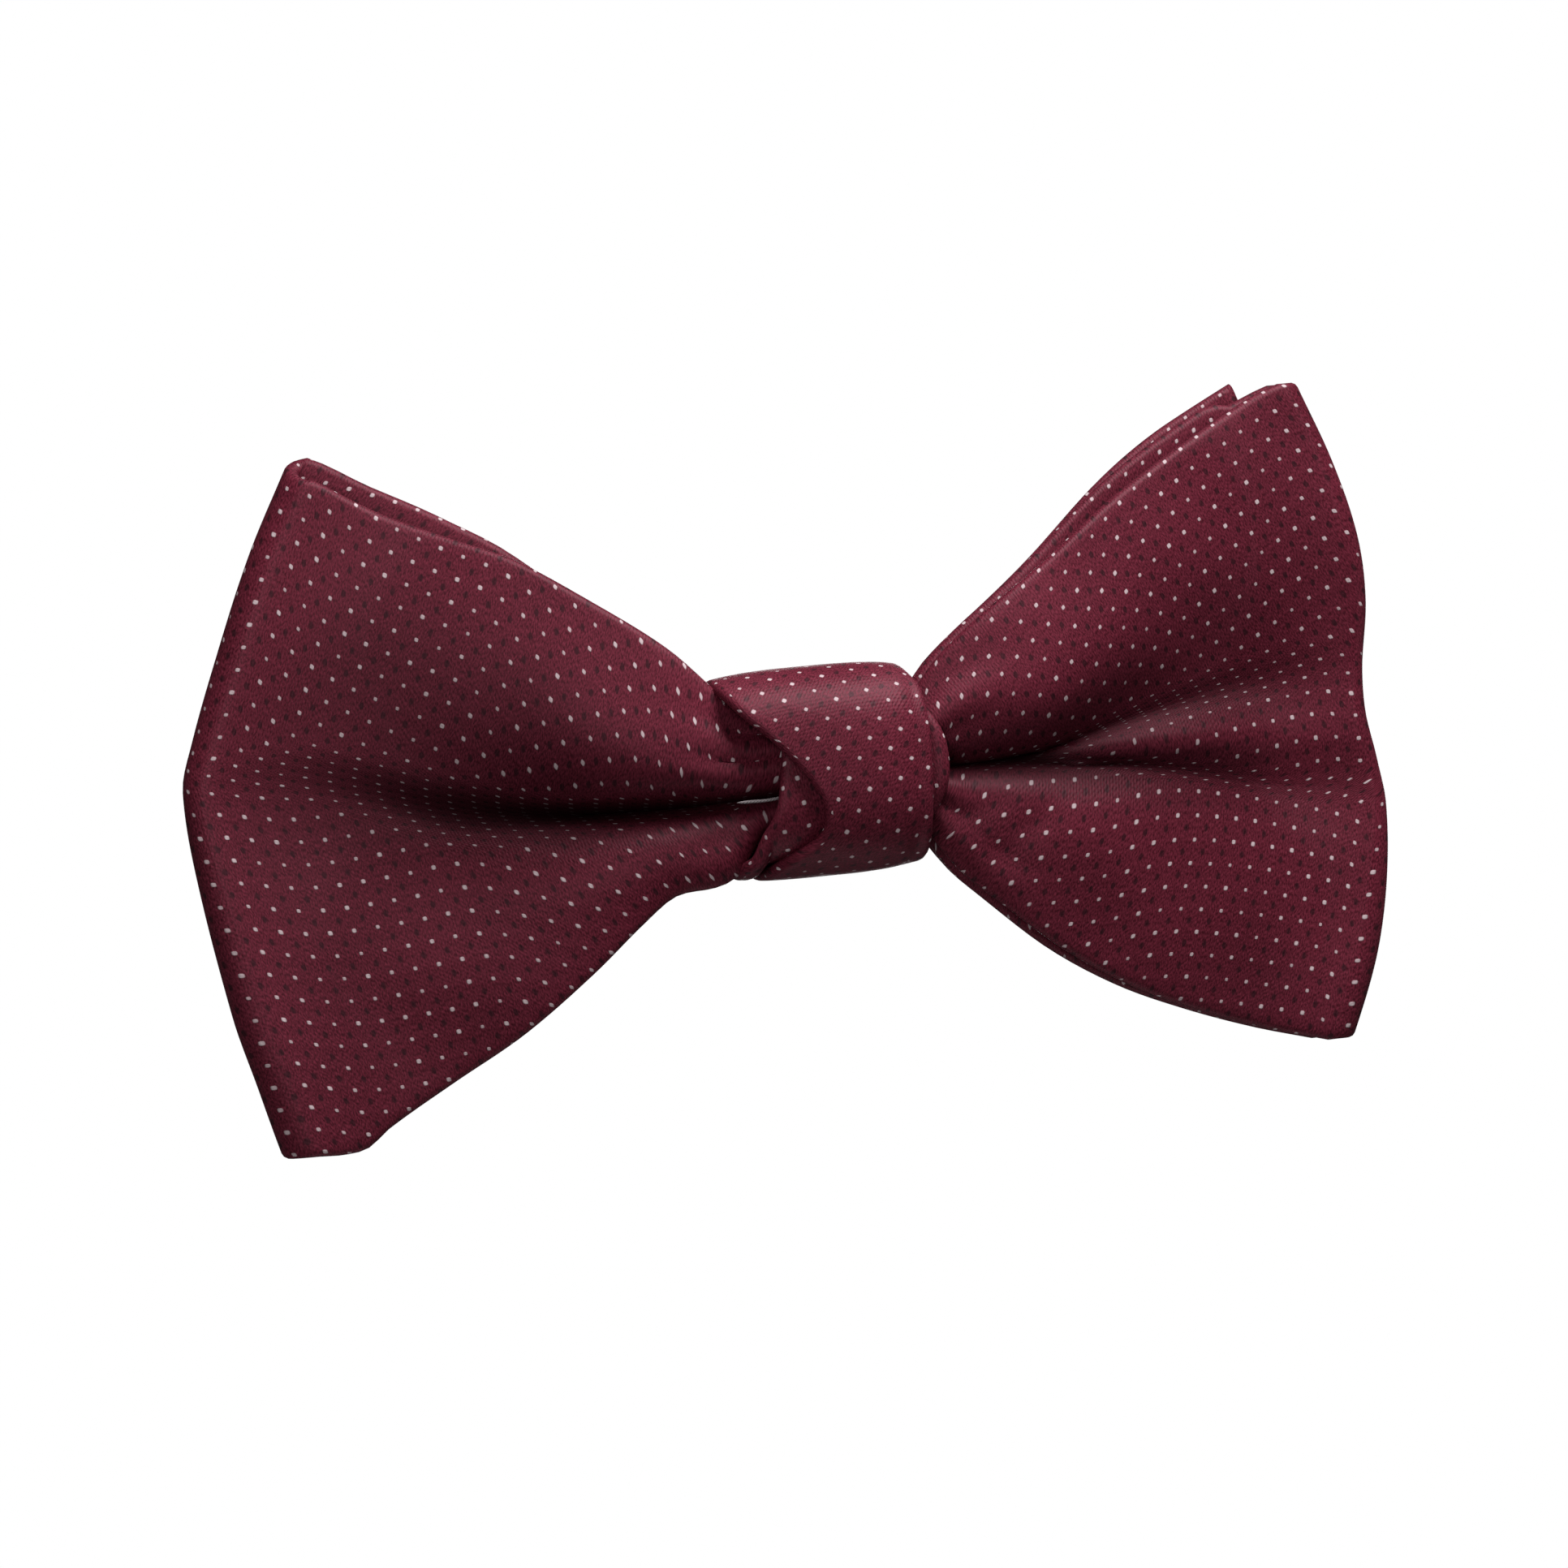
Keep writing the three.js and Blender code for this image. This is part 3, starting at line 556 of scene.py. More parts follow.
@dataclass(frozen=True)
class Dent:
    """A small hollow or, with a negative depth, a small swelling in the front leaf."""

    x: float
    z: float
    wide: float
    tall: float
    depth: float
    tilt: float = 0.0

    def at(self, x: Array, z: Array) -> Array:
        """Depth at (x, z): a bell over an ellipse turned by tilt degrees.

        Args:
            x: places across, in millimetres.
            z: heights, in millimetres.

        Returns:
            The depths, in millimetres.
        """
        c, s = math.cos(math.radians(self.tilt)), math.sin(math.radians(self.tilt))
        along = (c * (x - self.x) + s * (z - self.z)) / self.wide
        across = (-s * (x - self.x) + c * (z - self.z)) / self.tall
        return self.depth * bell(np.hypot(along, across))


@dataclass(frozen=True)
class Lift:
    """How far a layer behind stands above the front leaf, by the share of the way out."""

    height: float
    start: float
    full: float
    fall: float
    end: float
    kept: float

    def at(self, u: Array, v: Array) -> Array:
        """The lift at (u, v): eased in from start to full, eased to its kept share from fall to end.

        Args:
            u: shares of the way out, from 0 in the middle to 1 at the outer edge.
            v: heights, from -1 at the bottom to 1 at the top.

        Returns:
            The lifts, in millimetres.
        """
        grown = ease((u - self.start) / (self.full - self.start))
        lost = (1 - self.kept) * ease((u - self.fall) / (self.end - self.fall))
        return self.height * grown * (1 - lost) * (0.5 + 0.5 * v)


@dataclass(frozen=True)
class Wing:
    """One wing. u runs from the middle (0) to the outer edge (1), and v from the bottom (-1) to the top (1)."""

    side: int
    top: Course
    bottom: Course
    outer: Course
    creases: tuple[Crease, ...]
    dents: tuple[Dent, ...]
    pleats: float
    back_lift: Lift
    rear_lift: Lift
    rows_rise: tuple[float, ...]  # of the dots in each lobe from the top down, outwards, in degrees
    edge: float = 0.75  # inset of the middle surface: half the thickness of the cloth

    def half_height(self, u: Array, v: Array) -> Array:
        """Half height of the cloth above or below the middle line, from the outline of that edge.

        Args:
            u: shares of the way out, from 0 in the middle to 1 at the outer edge.
            v: heights, from -1 at the bottom to 1 at the top.

        Returns:
            Half heights, in millimetres.
        """
        above = self.top.at(u * self.outer.at(1.0))
        below = self.bottom.at(u * self.outer.at(-1.0))
        return np.where(v > 0, above, below)

    def crease_line(self, crease: Crease, u: Array) -> Array:
        """Where a crease's line lies, as a value of v."""
        z = crease.line.at(u * self.outer.at(0.0))
        return z / self.half_height(u, np.sign(z))

    def crease_depth(self, u: Array, v: Array) -> Array:
        """The deepest of the creases at (u, v): each is a bell across its line with its own two widths.

        Args:
            u: shares of the way out, from 0 in the middle to 1 at the outer edge.
            v: heights, from -1 at the bottom to 1 at the top.

        Returns:
            The depths, in millimetres.
        """
        depths = []
        for crease in self.creases:
            away = v - self.crease_line(crease, u)
            depths.append(crease.depth.at(u) * bell(away / crease.width(u, away), crease.power.at(u)))
        return np.max(depths, axis=0)

    def painted_shade(self, u: Array, v: Array) -> Array:
        """Painted shade of the creases: how strongly a point's colour is darkened, a flat-topped bell on each line,
        and a softer one beside it.

        Args:
            u: shares of the way out, from 0 in the middle to 1 at the outer edge.
            v: heights, from -1 at the bottom to 1 at the top.

        Returns:
            From 0 on open cloth to 1, the fullest painted shade.
        """
        open_share = np.ones_like(v)
        for crease in self.creases:
            away = v - self.crease_line(crease, u)
            core = bell(away * self.half_height(u, v) / crease.core.at(u), FLAT_TOPPED)
            spread = bell(away / (SKIRT_WIDTH * crease.width(u, away)))
            skirt = np.where(away > 0, SKIRT_ABOVE, SKIRT_BELOW) * spread
            open_share = open_share * (1 - crease.shade.at(u) * np.maximum(core, skirt))
        return 1 - open_share

    def pleat_depth(self, u: Array, v: Array) -> Array:
        """Small folds beside the knot: a cosine across the cloth that fades with the distance from the knot.

        Args:
            u: shares of the way out, from 0 in the middle to 1 at the outer edge.
            v: heights, from -1 at the bottom to 1 at the top.

        Returns:
            The depths, in millimetres.
        """
        fade = bell((u - PLEATS_AT) / PLEATS_REACH) * (1 - bell(v / PLEATS_PARTED))
        up, out, start = PLEAT_TURNS
        return self.pleats * fade * np.cos(2 * math.pi * (up * v + out * u + start))

    def ripple(self, u: Array, v: Array) -> Array:
        """Faint unevenness of the pressed cloth: three slow waves that cross each other.

        Args:
            u: shares of the way out, from 0 in the middle to 1 at the outer edge.
            v: heights, from -1 at the bottom to 1 at the top.

        Returns:
            The depths, in millimetres.
        """
        first = np.sin(7.0 * u + 3.0 * v + 1.3 * self.side)
        second = np.sin(13.0 * u - 8.0 * v + 2.0)
        third = np.sin(23.0 * u + 11.0 * v * self.side)
        a, b, c = RIPPLE_HEIGHTS
        return (a * first + b * second + c * third) * ease(u / RIPPLES_FULL_AT)

    def front_depth(self, u: Array, v: Array) -> Array:
        """Depth of the front leaf: its sweep, the curl of its long edges, its creases, pleats and ripples.

        Args:
            u: shares of the way out, from 0 in the middle to 1 at the outer edge.
            v: heights, from -1 at the bottom to 1 at the top.

        Returns:
            The depths, in millimetres.
        """
        curl = lerp(LAYERS.curl_middle, LAYERS.curl_edge, ease(u)) * np.abs(v) ** LAYERS.curl_power
        relief = self.crease_depth(u, v) + self.pleat_depth(u, v) + self.ripple(u, v)
        return LAYERS.front_sweep(u) + curl + relief

    def fold_radius(self, v: Array) -> Array:
        """Half the distance between the two leaves at the outer edge."""
        return (LAYERS.back(1.0) - self.front_depth(np.ones_like(v), v)) / 2

    def front(self, u: Array, v: Array) -> Array:
        """Points of the front leaf: x from the reach of the outer edge, y its depth, z a share of the height.

        Args:
            u: shares of the way out, from 0 in the middle to 1 at the outer edge.
            v: heights, from -1 at the bottom to 1 at the top.

        Returns:
            rows by columns by 3, in millimetres.
        """
        x = self.side * u * (self.outer.at(v) - self.fold_radius(v) - self.edge)
        z = v * (self.half_height(u, v) - self.edge)
        y = self.front_depth(u, v)
        for dent in self.dents:
            y = y + dent.at(x, z)
        return np.stack(np.broadcast_arrays(x, y, z), axis=-1)

    def back(self, u: Array, v: Array) -> Array:
        """Points of the back leaf: behind the front one, lifted above it at the top.

        Args:
            u: shares of the way out, from 0 in the middle to 1 at the outer edge.
            v: heights, from -1 at the bottom to 1 at the top.

        Returns:
            rows by columns by 3, in millimetres.
        """
        q = self.front(u, v)
        depth = np.broadcast_to(LAYERS.back(u), q.shape[:-1])
        return np.stack([q[..., 0], depth, q[..., 2] + self.back_lift.at(u, v)], axis=-1)

    def fold(self, turn: Array, v: Array) -> Array:
        """Points round the outer fold: half a circle from the front leaf (0) to the back leaf (1).

        Args:
            turn: shares of the way round.
            v: heights, from -1 at the bottom to 1 at the top.

        Returns:
            rows by columns by 3, in millimetres.
        """
        one = np.ones_like(v)
        front, back = self.front(one, v), self.back(one, v)
        radius = (back[..., 1] - front[..., 1]) / 2
        angle = math.pi * turn
        q = lerp(front, back, ((1 - np.cos(angle)) / 2)[..., None])
        q[..., 0] += self.side * radius * np.sin(angle)
        return q

    def rear(self, u: Array, v: Array, shorter: float) -> Array:
        """Points of the rear bow's wing, which stops short of the front one's outer edge.

        Args:
            u: shares of the way out, from 0 in the middle to 1 at the outer edge.
            v: heights, from -1 at the bottom to 1 at the top.
            shorter: how far short, in millimetres.

        Returns:
            rows by columns by 3, in millimetres.
        """
        share = u * (1 - shorter / self.outer.at(0.0))
        x = self.side * share * self.outer.at(v)
        curl = LAYERS.rear_curl * (1 - ease(u)) * np.abs(v) ** LAYERS.curl_power
        y = lerp(LAYERS.rear_middle, LAYERS.rear_edge, ease(u)) - curl
        z = v * (self.half_height(share, v) - self.edge) + self.rear_lift.at(share, v)
        return np.stack(np.broadcast_arrays(x, y, z), axis=-1)

    def flat(self, points: Array, u: Array, v: Array) -> Array:
        """Places on the flat cloth.

        Each lobe between two creases is a flat piece of cloth, turned about the outer end of the first crease by the
        lobe's own angle. From lobe to lobe the places are blended over the core of the crease, where the cloth that
        the turns leave over is gathered in.

        Args:
            points: rows by columns by 3.
            u: rows by columns, shares of the way out.
            v: rows by columns, heights.

        Returns:
            rows by columns by 2, in millimetres: along the rows of dots, outwards, and across them, upwards.
        """
        out = self.side * points[..., 0] - self.outer.at(0.0)
        up = points[..., 2] - self.creases[0].line.at(self.outer.at(0.0))
        angles = np.radians(np.array(self.rows_rise))
        lobes = [
            np.stack([out * np.cos(a) + up * np.sin(a), up * np.cos(a) - out * np.sin(a)], axis=-1) for a in angles
        ]
        places = lobes[0]
        for crease, lobe in zip(self.creases, lobes[1:]):
            away = (v - self.crease_line(crease, u)) * self.half_height(u, v)
            below = ease(0.5 - away / (BLEND_WIDTH * crease.core.at(u)))
            places = lerp(places, lobe, below[..., None])
        return places

    def flat_behind(self, u: Array, v: Array, turned: float) -> Array:
        """Places past the outer fold: the front leaf's, mirrored at the fold and moved on by the cloth round it.

        Args:
            u: shares of the way out, from 0 in the middle to 1 at the outer edge.
            v: heights, from -1 at the bottom to 1 at the top.
            turned: the length of cloth round the fold, in millimetres.

        Returns:
            rows by columns by 2, in millimetres.
        """
        one = np.ones_like(u)
        edge = self.flat(self.front(one, v), one, v)
        front = self.flat(self.front(u, v), u, v)
        return np.stack([2 * edge[..., 0] - front[..., 0] + turned, front[..., 1]], axis=-1)


LEFT = Wing(
    side=-1,
    top=Course(
        ((0, 5.4), (7, 5.4), (11, 6.0), (14, 9.0), (18.2, 13.2), (25.3, 18.5), (32, 23.0), (37.6, 25.5))
        + ((44.5, 28.7), (50.5, 32.3))
    ),
    bottom=Course(
        ((0, 4.8), (9.5, 5.0), (11.5, 6.8), (13.2, 9.0), (15.2, 9.8), (19.5, 10.3), (22.9, 12.6), (27.8, 16.6))
        + ((35.2, 21.9), (42.5, 25.9), (49.0, 29.5), (51.2, 31.1), (53.5, 31.5), (56.3, 31.4))
    ),
    outer=Course(
        ((-1, 56.3), (-0.8, 58.0), (-0.58, 60.0), (-0.2, 62.2), (0.1, 62.9), (0.23, 61.7), (0.45, 59.0))
        + ((0.75, 54.9), (1, 50.6))
    ),
    creases=(
        Crease(
            line=Course(
                ((0, -0.7), (7.6, -1.8), (18.2, -2.1), (25.8, -1.9), (33.4, -1.3), (41, 0.2), (48.4, 3.1))
                + ((55, 4.9), (62, 5.0))
            ),
            depth=Course(((0, 1.4), (0.12, 3.0), (0.22, 4.2), (0.38, 4.8), (0.6, 3.9), (0.8, 2.3), (1, 0.9))),
            above=Course(((0, 0.36), (0.2, 0.23), (0.3, 0.23), (0.42, 0.28), (0.55, 0.4), (0.75, 0.45), (1, 0.4))),
            below=Course(((0, 0.34), (0.2, 0.3), (0.5, 0.29), (1, 0.32))),
            power=Course(((0, 2.0), (0.25, 1.5), (0.6, 1.6), (1, 2.0))),
            shade=Course(
                ((0, 0.9), (0.14, 0.97), (0.4, 0.98), (0.55, 0.95), (0.68, 0.88), (0.8, 0.7), (0.9, 0.45), (1, 0.1))
            ),
            core=Course(((0, 1.1), (0.2, 1.4), (0.32, 2.0), (0.5, 3.0), (0.64, 4.2), (0.78, 3.4), (1, 2.4))),
        ),
    ),
    dents=(Dent(-57.0, -31.0, 12.0, 15.0, -1.5),),
    pleats=0.3,
    back_lift=Lift(2.7, 0.42, 0.86, 0.95, 1.0, 0.9),
    rear_lift=Lift(1.4, 0.1, 0.8, 0.8, 1.0, 0.6),
    rows_rise=(20.6, -11.7),
)
RIGHT = Wing(
    side=1,
    top=Course(
        ((0, 5.4), (4.5, 5.5), (6.5, 6.5), (9.5, 9.9), (14, 13.4), (22.2, 18.6), (29.6, 23.6), (36.9, 27.7))
        + ((44.4, 31.5), (48.0, 33.2), (50.6, 34.1))
    ),
    bottom=Course(
        ((0, 4.8), (4.5, 4.9), (6.5, 5.7), (10, 10.4), (13.5, 13.7), (20.1, 19.1), (27.4, 23.4), (34.8, 26.5))
        + ((42.4, 29.1), (48.9, 30.9))
    ),
    outer=Course(
        ((-1, 48.9), (-0.73, 52.4), (-0.5, 54.4), (-0.27, 55.4), (-0.13, 55.0), (0.02, 54.3), (0.16, 54.5))
        + ((0.36, 55.5), (0.55, 55.2), (0.78, 53.3), (1, 50.6))
    ),
    creases=(
        Crease(
            line=Course(
                ((0, -0.7), (5, -0.5), (13.6, -0.4), (20.4, 0.2), (29.1, 2.4), (37.8, 4.4), (46.6, 5.8), (55, 6.6))
            ),
            depth=Course(((0, 1.4), (0.12, 2.6), (0.25, 3.6), (0.42, 4.0), (0.62, 3.2), (0.82, 2.0), (1, 0.8))),
            above=Course(((0, 0.4), (0.2, 0.26), (0.37, 0.23), (0.53, 0.28), (0.69, 0.33), (1, 0.34))),
            below=Course(((0, 0.34), (0.2, 0.17), (0.5, 0.15), (1, 0.16))),
            power=Course(((0, 2.0), (0.25, 1.5), (0.6, 1.6), (1, 2.0))),
            shade=Course(((0, 0.8), (0.25, 0.86), (0.4, 0.78), (0.7, 0.72), (0.85, 0.5), (1, 0.15))),
            core=Course(((0, 0.9), (0.25, 1.2), (0.5, 1.7), (0.7, 2.5), (0.85, 3.0), (1, 2.7))),
        ),
        Crease(
            line=Course(
                ((0, -0.7), (5, -0.6), (13.5, -0.8), (20.3, -1.3), (28.7, -2.1), (37.1, -3.7))
                + ((45.6, -5.6), (54, -6.4))
            ),
            depth=Course(((0, 1.4), (0.12, 2.4), (0.25, 3.2), (0.42, 3.2), (0.62, 2.4), (0.82, 1.6), (1, 0.6))),
            above=Course(((0, 0.36), (0.2, 0.12), (0.5, 0.12), (1, 0.14))),
            below=Course(((0, 0.34), (0.2, 0.18), (0.5, 0.17), (1, 0.18))),
            power=Course(((0, 2.0), (0.25, 1.5), (0.6, 1.7), (1, 2.0))),
            shade=Course(((0, 0.8), (0.35, 0.88), (0.5, 0.8), (0.7, 0.6), (0.85, 0.38), (1, 0.12))),
            core=Course(((0, 0.9), (0.25, 1.1), (0.5, 1.4), (0.7, 1.7), (1, 1.9))),
        ),
    ),
    dents=(
        Dent(11.5, -4.6, 3.2, 1.6, 0.6, -15.0),
        Dent(16.0, -7.0, 3.4, 1.5, 0.5, 30.0),
        Dent(13.5, -9.6, 2.8, 1.4, 0.4, -30.0),
        Dent(51.0, -31.0, 13.0, 16.0, -2.0),
    ),
    pleats=0.25,
    back_lift=Lift(1.6, 0.3, 0.7, 0.86, 0.92, 0.1),
    rear_lift=Lift(3.1, 0.25, 0.75, 0.9, 1.0, 0.9),
    rows_rise=(26.0, 2.0, -17.4),
)


# ---------- shader nodes ----------


@dataclass
class Graph:
    """Adds nodes to a shader tree and joins them."""

    tree: bpy.types.NodeTree

    def add(self, kind: str, settings: dict[str, object] | None = None, **inputs: object) -> bpy.types.Node:
        """Adds a node.

        Args:
            kind: the node's type, without its ShaderNode prefix.
            settings: the node's own properties.
            **inputs: values or sockets for its inputs, by name, with _ for a space.

        Returns:
            The node.
        """
        node = self.tree.nodes.new("ShaderNode" + kind)
        for key, value in (settings or {}).items():
            setattr(node, key, value)
        for key, value in inputs.items():
            self.feed(node.inputs[key.replace("_", " ")], value)
        return node

    def feed(self, socket: bpy.types.NodeSocket, value: object) -> None:
        """Joins a socket to another one, or sets its value.

        Args:
            socket: the input.
            value: an output socket, or the value itself.
        """
        if isinstance(value, bpy.types.NodeSocket):
            self.tree.links.new(value, socket)
        else:
            socket.default_value = value

    def math(self, operation: str, *values: object) -> bpy.types.NodeSocket:
        """Adds a Math node and returns its output.

        Args:
            operation: what it does.
            *values: numbers or sockets for its inputs, in order.

        Returns:
            The socket that puts out the result.
        """
        node = self.add("Math", {"operation": operation})
        for socket, value in zip(node.inputs, values):
            self.feed(socket, value)
        return node.outputs[0]

    def fade(self, value: bpy.types.NodeSocket, start: float, end: float) -> bpy.types.NodeSocket:
        """1 below start, 0 above end, and smooth between them.

        Args:
            value: what is measured.
            start: where the fade begins.
            end: where it ends.

        Returns:
            The socket that puts out the result.
        """
        node = self.add("MapRange", {"interpolation_type": "SMOOTHSTEP"})
        for key, number in (("From Min", start), ("From Max", end), ("To Min", 1.0), ("To Max", 0.0)):
            node.inputs[key].default_value = number
        self.feed(node.inputs["Value"], value)
        return node.outputs["Result"]

    def mix(self, share: object, a: object, b: object) -> bpy.types.NodeSocket:
        """Adds a colour Mix node and returns its output.

        Args:
            share: how much of b there is.
            a: a colour or a socket.
            b: a colour or a socket.

        Returns:
            The socket that puts out the result.
        """
        node = self.add("Mix", {"data_type": "RGBA"})
        for index, value in ((0, share), (6, a), (7, b)):
            if isinstance(value, tuple) and len(value) == 3:
                value = (*value, 1.0)
            self.feed(node.inputs[index], value)
        return node.outputs[2]

    def noise(self, vector: object, scale: float, detail: float = 2.0) -> bpy.types.NodeSocket:
        """Adds a Noise Texture node and returns its grey value."""
        return self.add("TexNoise", Vector=vector, Scale=scale, Detail=detail).outputs["Fac"]


def new_group(name: str, inputs: dict[str, str], outputs: dict[str, str]) -> bpy.types.NodeTree:
    """Makes an empty shader node group.

    Args:
        name: the group's name.
        inputs: name and socket type of each input.
        outputs: name and socket type of each output.

    Returns:
        The group, with its input and output nodes.
    """
    group = bpy.data.node_groups.new(name, "ShaderNodeTree")
    for side, sockets in (("INPUT", inputs), ("OUTPUT", outputs)):
        for label, kind in sockets.items():
            group.interface.new_socket(name=label, in_out=side, socket_type="NodeSocket" + kind)
    group.nodes.new("NodeGroupInput")
    group.nodes.new("NodeGroupOutput")
    return group


def group_ends(group: bpy.types.NodeTree) -> tuple[bpy.types.Node, bpy.types.Node]:
    """The input and the output node of a group."""
    return group.nodes["Group Input"], group.nodes["Group Output"]


def new_material(name: str) -> tuple[bpy.types.Material, Graph, bpy.types.Node]:
    """Makes a material.

    Args:
        name: its name.

    Returns:
        The material, the graph of its nodes, and its Principled node.
    """
    material = bpy.data.materials.new(name)
    material.use_nodes = True
    return material, Graph(material.node_tree), material.node_tree.nodes["Principled BSDF"]


def pin_dot_group() -> bpy.types.NodeTree:
    """Woven pin dots on cloth places counted in dot pitches.

    A pale dot lies where both places are whole numbers: the distance from it is the root of the squared distances
    to the next whole numbers. A dark dot, taller than wide, lies in the middle between four pale ones.

    Returns:
        The group.
    """
    group = new_group(
        "woven_pin_dots",
        {"Places": "Vector", "Pale Radius": "Float", "Dark Radius": "Float"},
        {"Pale": "Float", "Dark": "Float", "Change": "Float"},
    )
    graph = Graph(group)
    start, end = group_ends(group)
    apart = graph.add("SeparateXYZ", Vector=start.outputs["Places"])
    along, across = (graph.math("PINGPONG", apart.outputs[k], 0.5) for k in range(2))
    cells = [graph.math("ROUND", apart.outputs[k]) for k in range(2)]
    cell = graph.add("CombineXYZ", X=cells[0], Y=cells[1]).outputs[0]
    chance = graph.add("TexWhiteNoise", {"noise_dimensions": "2D"}, Vector=cell).outputs["Value"]
    size = graph.math("MULTIPLY_ADD", chance, 0.3, 0.85)
    cubes = [graph.math("POWER", place, 3.0) for place in (along, across)]
    square = graph.math("POWER", graph.math("ADD", *cubes), 1 / 3)
    pale = graph.math("DIVIDE", square, graph.math("MULTIPLY", start.outputs["Pale Radius"], size))
    graph.feed(end.inputs["Pale"], graph.fade(pale, 0.72, 1.28))
    beside = graph.math("MULTIPLY", graph.math("SUBTRACT", 0.5, along), 1.25)
    above = graph.math("MULTIPLY", graph.math("SUBTRACT", 0.5, across), 0.85)
    away = graph.math("SQRT", graph.math("ADD", graph.math("POWER", beside, 2.0), graph.math("POWER", above, 2.0)))
    graph.feed(end.inputs["Dark"], graph.fade(graph.math("DIVIDE", away, start.outputs["Dark Radius"]), 0.7, 1.3))
    graph.feed(end.inputs["Change"], chance)
    return group


def weave_group() -> bpy.types.NodeTree:
    """Ribs and threads of a satin weave on cloth places counted in dot pitches.

    The ribs are a sine along the cloth, broken by short crossing threads, and Grain is a fine uneven sparkle.

    Returns:
        The group.
    """
    group = new_group(
        "satin_weave",
        {"Places": "Vector", "Ribs": "Float"},
        {"Height": "Float", "Grain": "Float"},
    )
    graph = Graph(group)
    start, end = group_ends(group)
    apart = graph.add("SeparateXYZ", Vector=start.outputs["Places"])
    ribs = start.outputs["Ribs"]
    turn = graph.math("MULTIPLY", graph.math("MULTIPLY", apart.outputs[0], ribs), 2 * math.pi)
    cross_turn = graph.math("MULTIPLY", graph.math("MULTIPLY", apart.outputs[1], ribs), 1.3 * math.pi)
    rib = graph.math("SINE", turn)
    cross = graph.math("SINE", graph.math("ADD", cross_turn, graph.math("MULTIPLY", turn, 0.5)))
    stretched = graph.add("Mapping", Vector=start.outputs["Places"], Scale=(1.0, 0.35, 1.0)).outputs[0]
    fine = graph.noise(stretched, 19.0, 3.0)
    pucker = graph.math("COSINE", graph.math("MULTIPLY", apart.outputs[1], 2 * math.pi))
    height = graph.math("ADD", graph.math("MULTIPLY", rib, 0.35), graph.math("MULTIPLY", cross, 0.2))
    height = graph.math("ADD", height, graph.math("MULTIPLY", fine, 0.4))
    graph.feed(end.inputs["Height"], graph.math("ADD", height, graph.math("MULTIPLY", pucker, 0.35)))
    graph.feed(end.inputs["Grain"], fine)
    return group


def twist_group() -> bpy.types.NodeTree:
    """The plies of a twisted thread: a sine along a slanting line on the places (along, round).

    Returns:
        The group.
    """
    group = new_group("thread_twist", {"Places": "Vector", "Turns": "Float"}, {"Height": "Float", "Shade": "Float"})
    graph = Graph(group)
    start, end = group_ends(group)
    apart = graph.add("SeparateXYZ", Vector=start.outputs["Places"])
    slant = graph.math("ADD", graph.math("MULTIPLY", apart.outputs[0], start.outputs["Turns"]), apart.outputs[1])
    ply = graph.math("SINE", graph.math("MULTIPLY", slant, 6 * math.pi))
    fuzz = graph.noise(start.outputs["Places"], 9.0)
    graph.feed(end.inputs["Height"], graph.math("ADD", ply, fuzz))
    graph.feed(end.inputs["Shade"], graph.math("MULTIPLY_ADD", ply, 0.25, fuzz))
    return group


def wear_group() -> bpy.types.NodeTree:
    """Fine scratches and handling marks of metal, on object coordinates.

    Returns:
        The group.
    """
    group = new_group(
        "metal_wear",
        {"Vector": "Vector", "Stretch": "Vector"},
        {"Marks": "Float", "Scratches": "Float"},
    )
    graph = Graph(group)
    start, end = group_ends(group)
    drawn = graph.add("Mapping", Vector=start.outputs["Vector"], Scale=start.outputs["Stretch"]).outputs[0]
    graph.feed(end.inputs["Scratches"], graph.noise(drawn, 1400.0, 4.0))
    graph.feed(end.inputs["Marks"], graph.noise(start.outputs["Vector"], 260.0, 3.0))
    return group


# ---------- finishes ----------


@dataclass
class Effects:
    """The node groups that the finishes share."""

    dots: bpy.types.NodeTree = field(default_factory=pin_dot_group)
    weave: bpy.types.NodeTree = field(default_factory=weave_group)
    twist: bpy.types.NodeTree = field(default_factory=twist_group)
    wear: bpy.types.NodeTree = field(default_factory=wear_group)


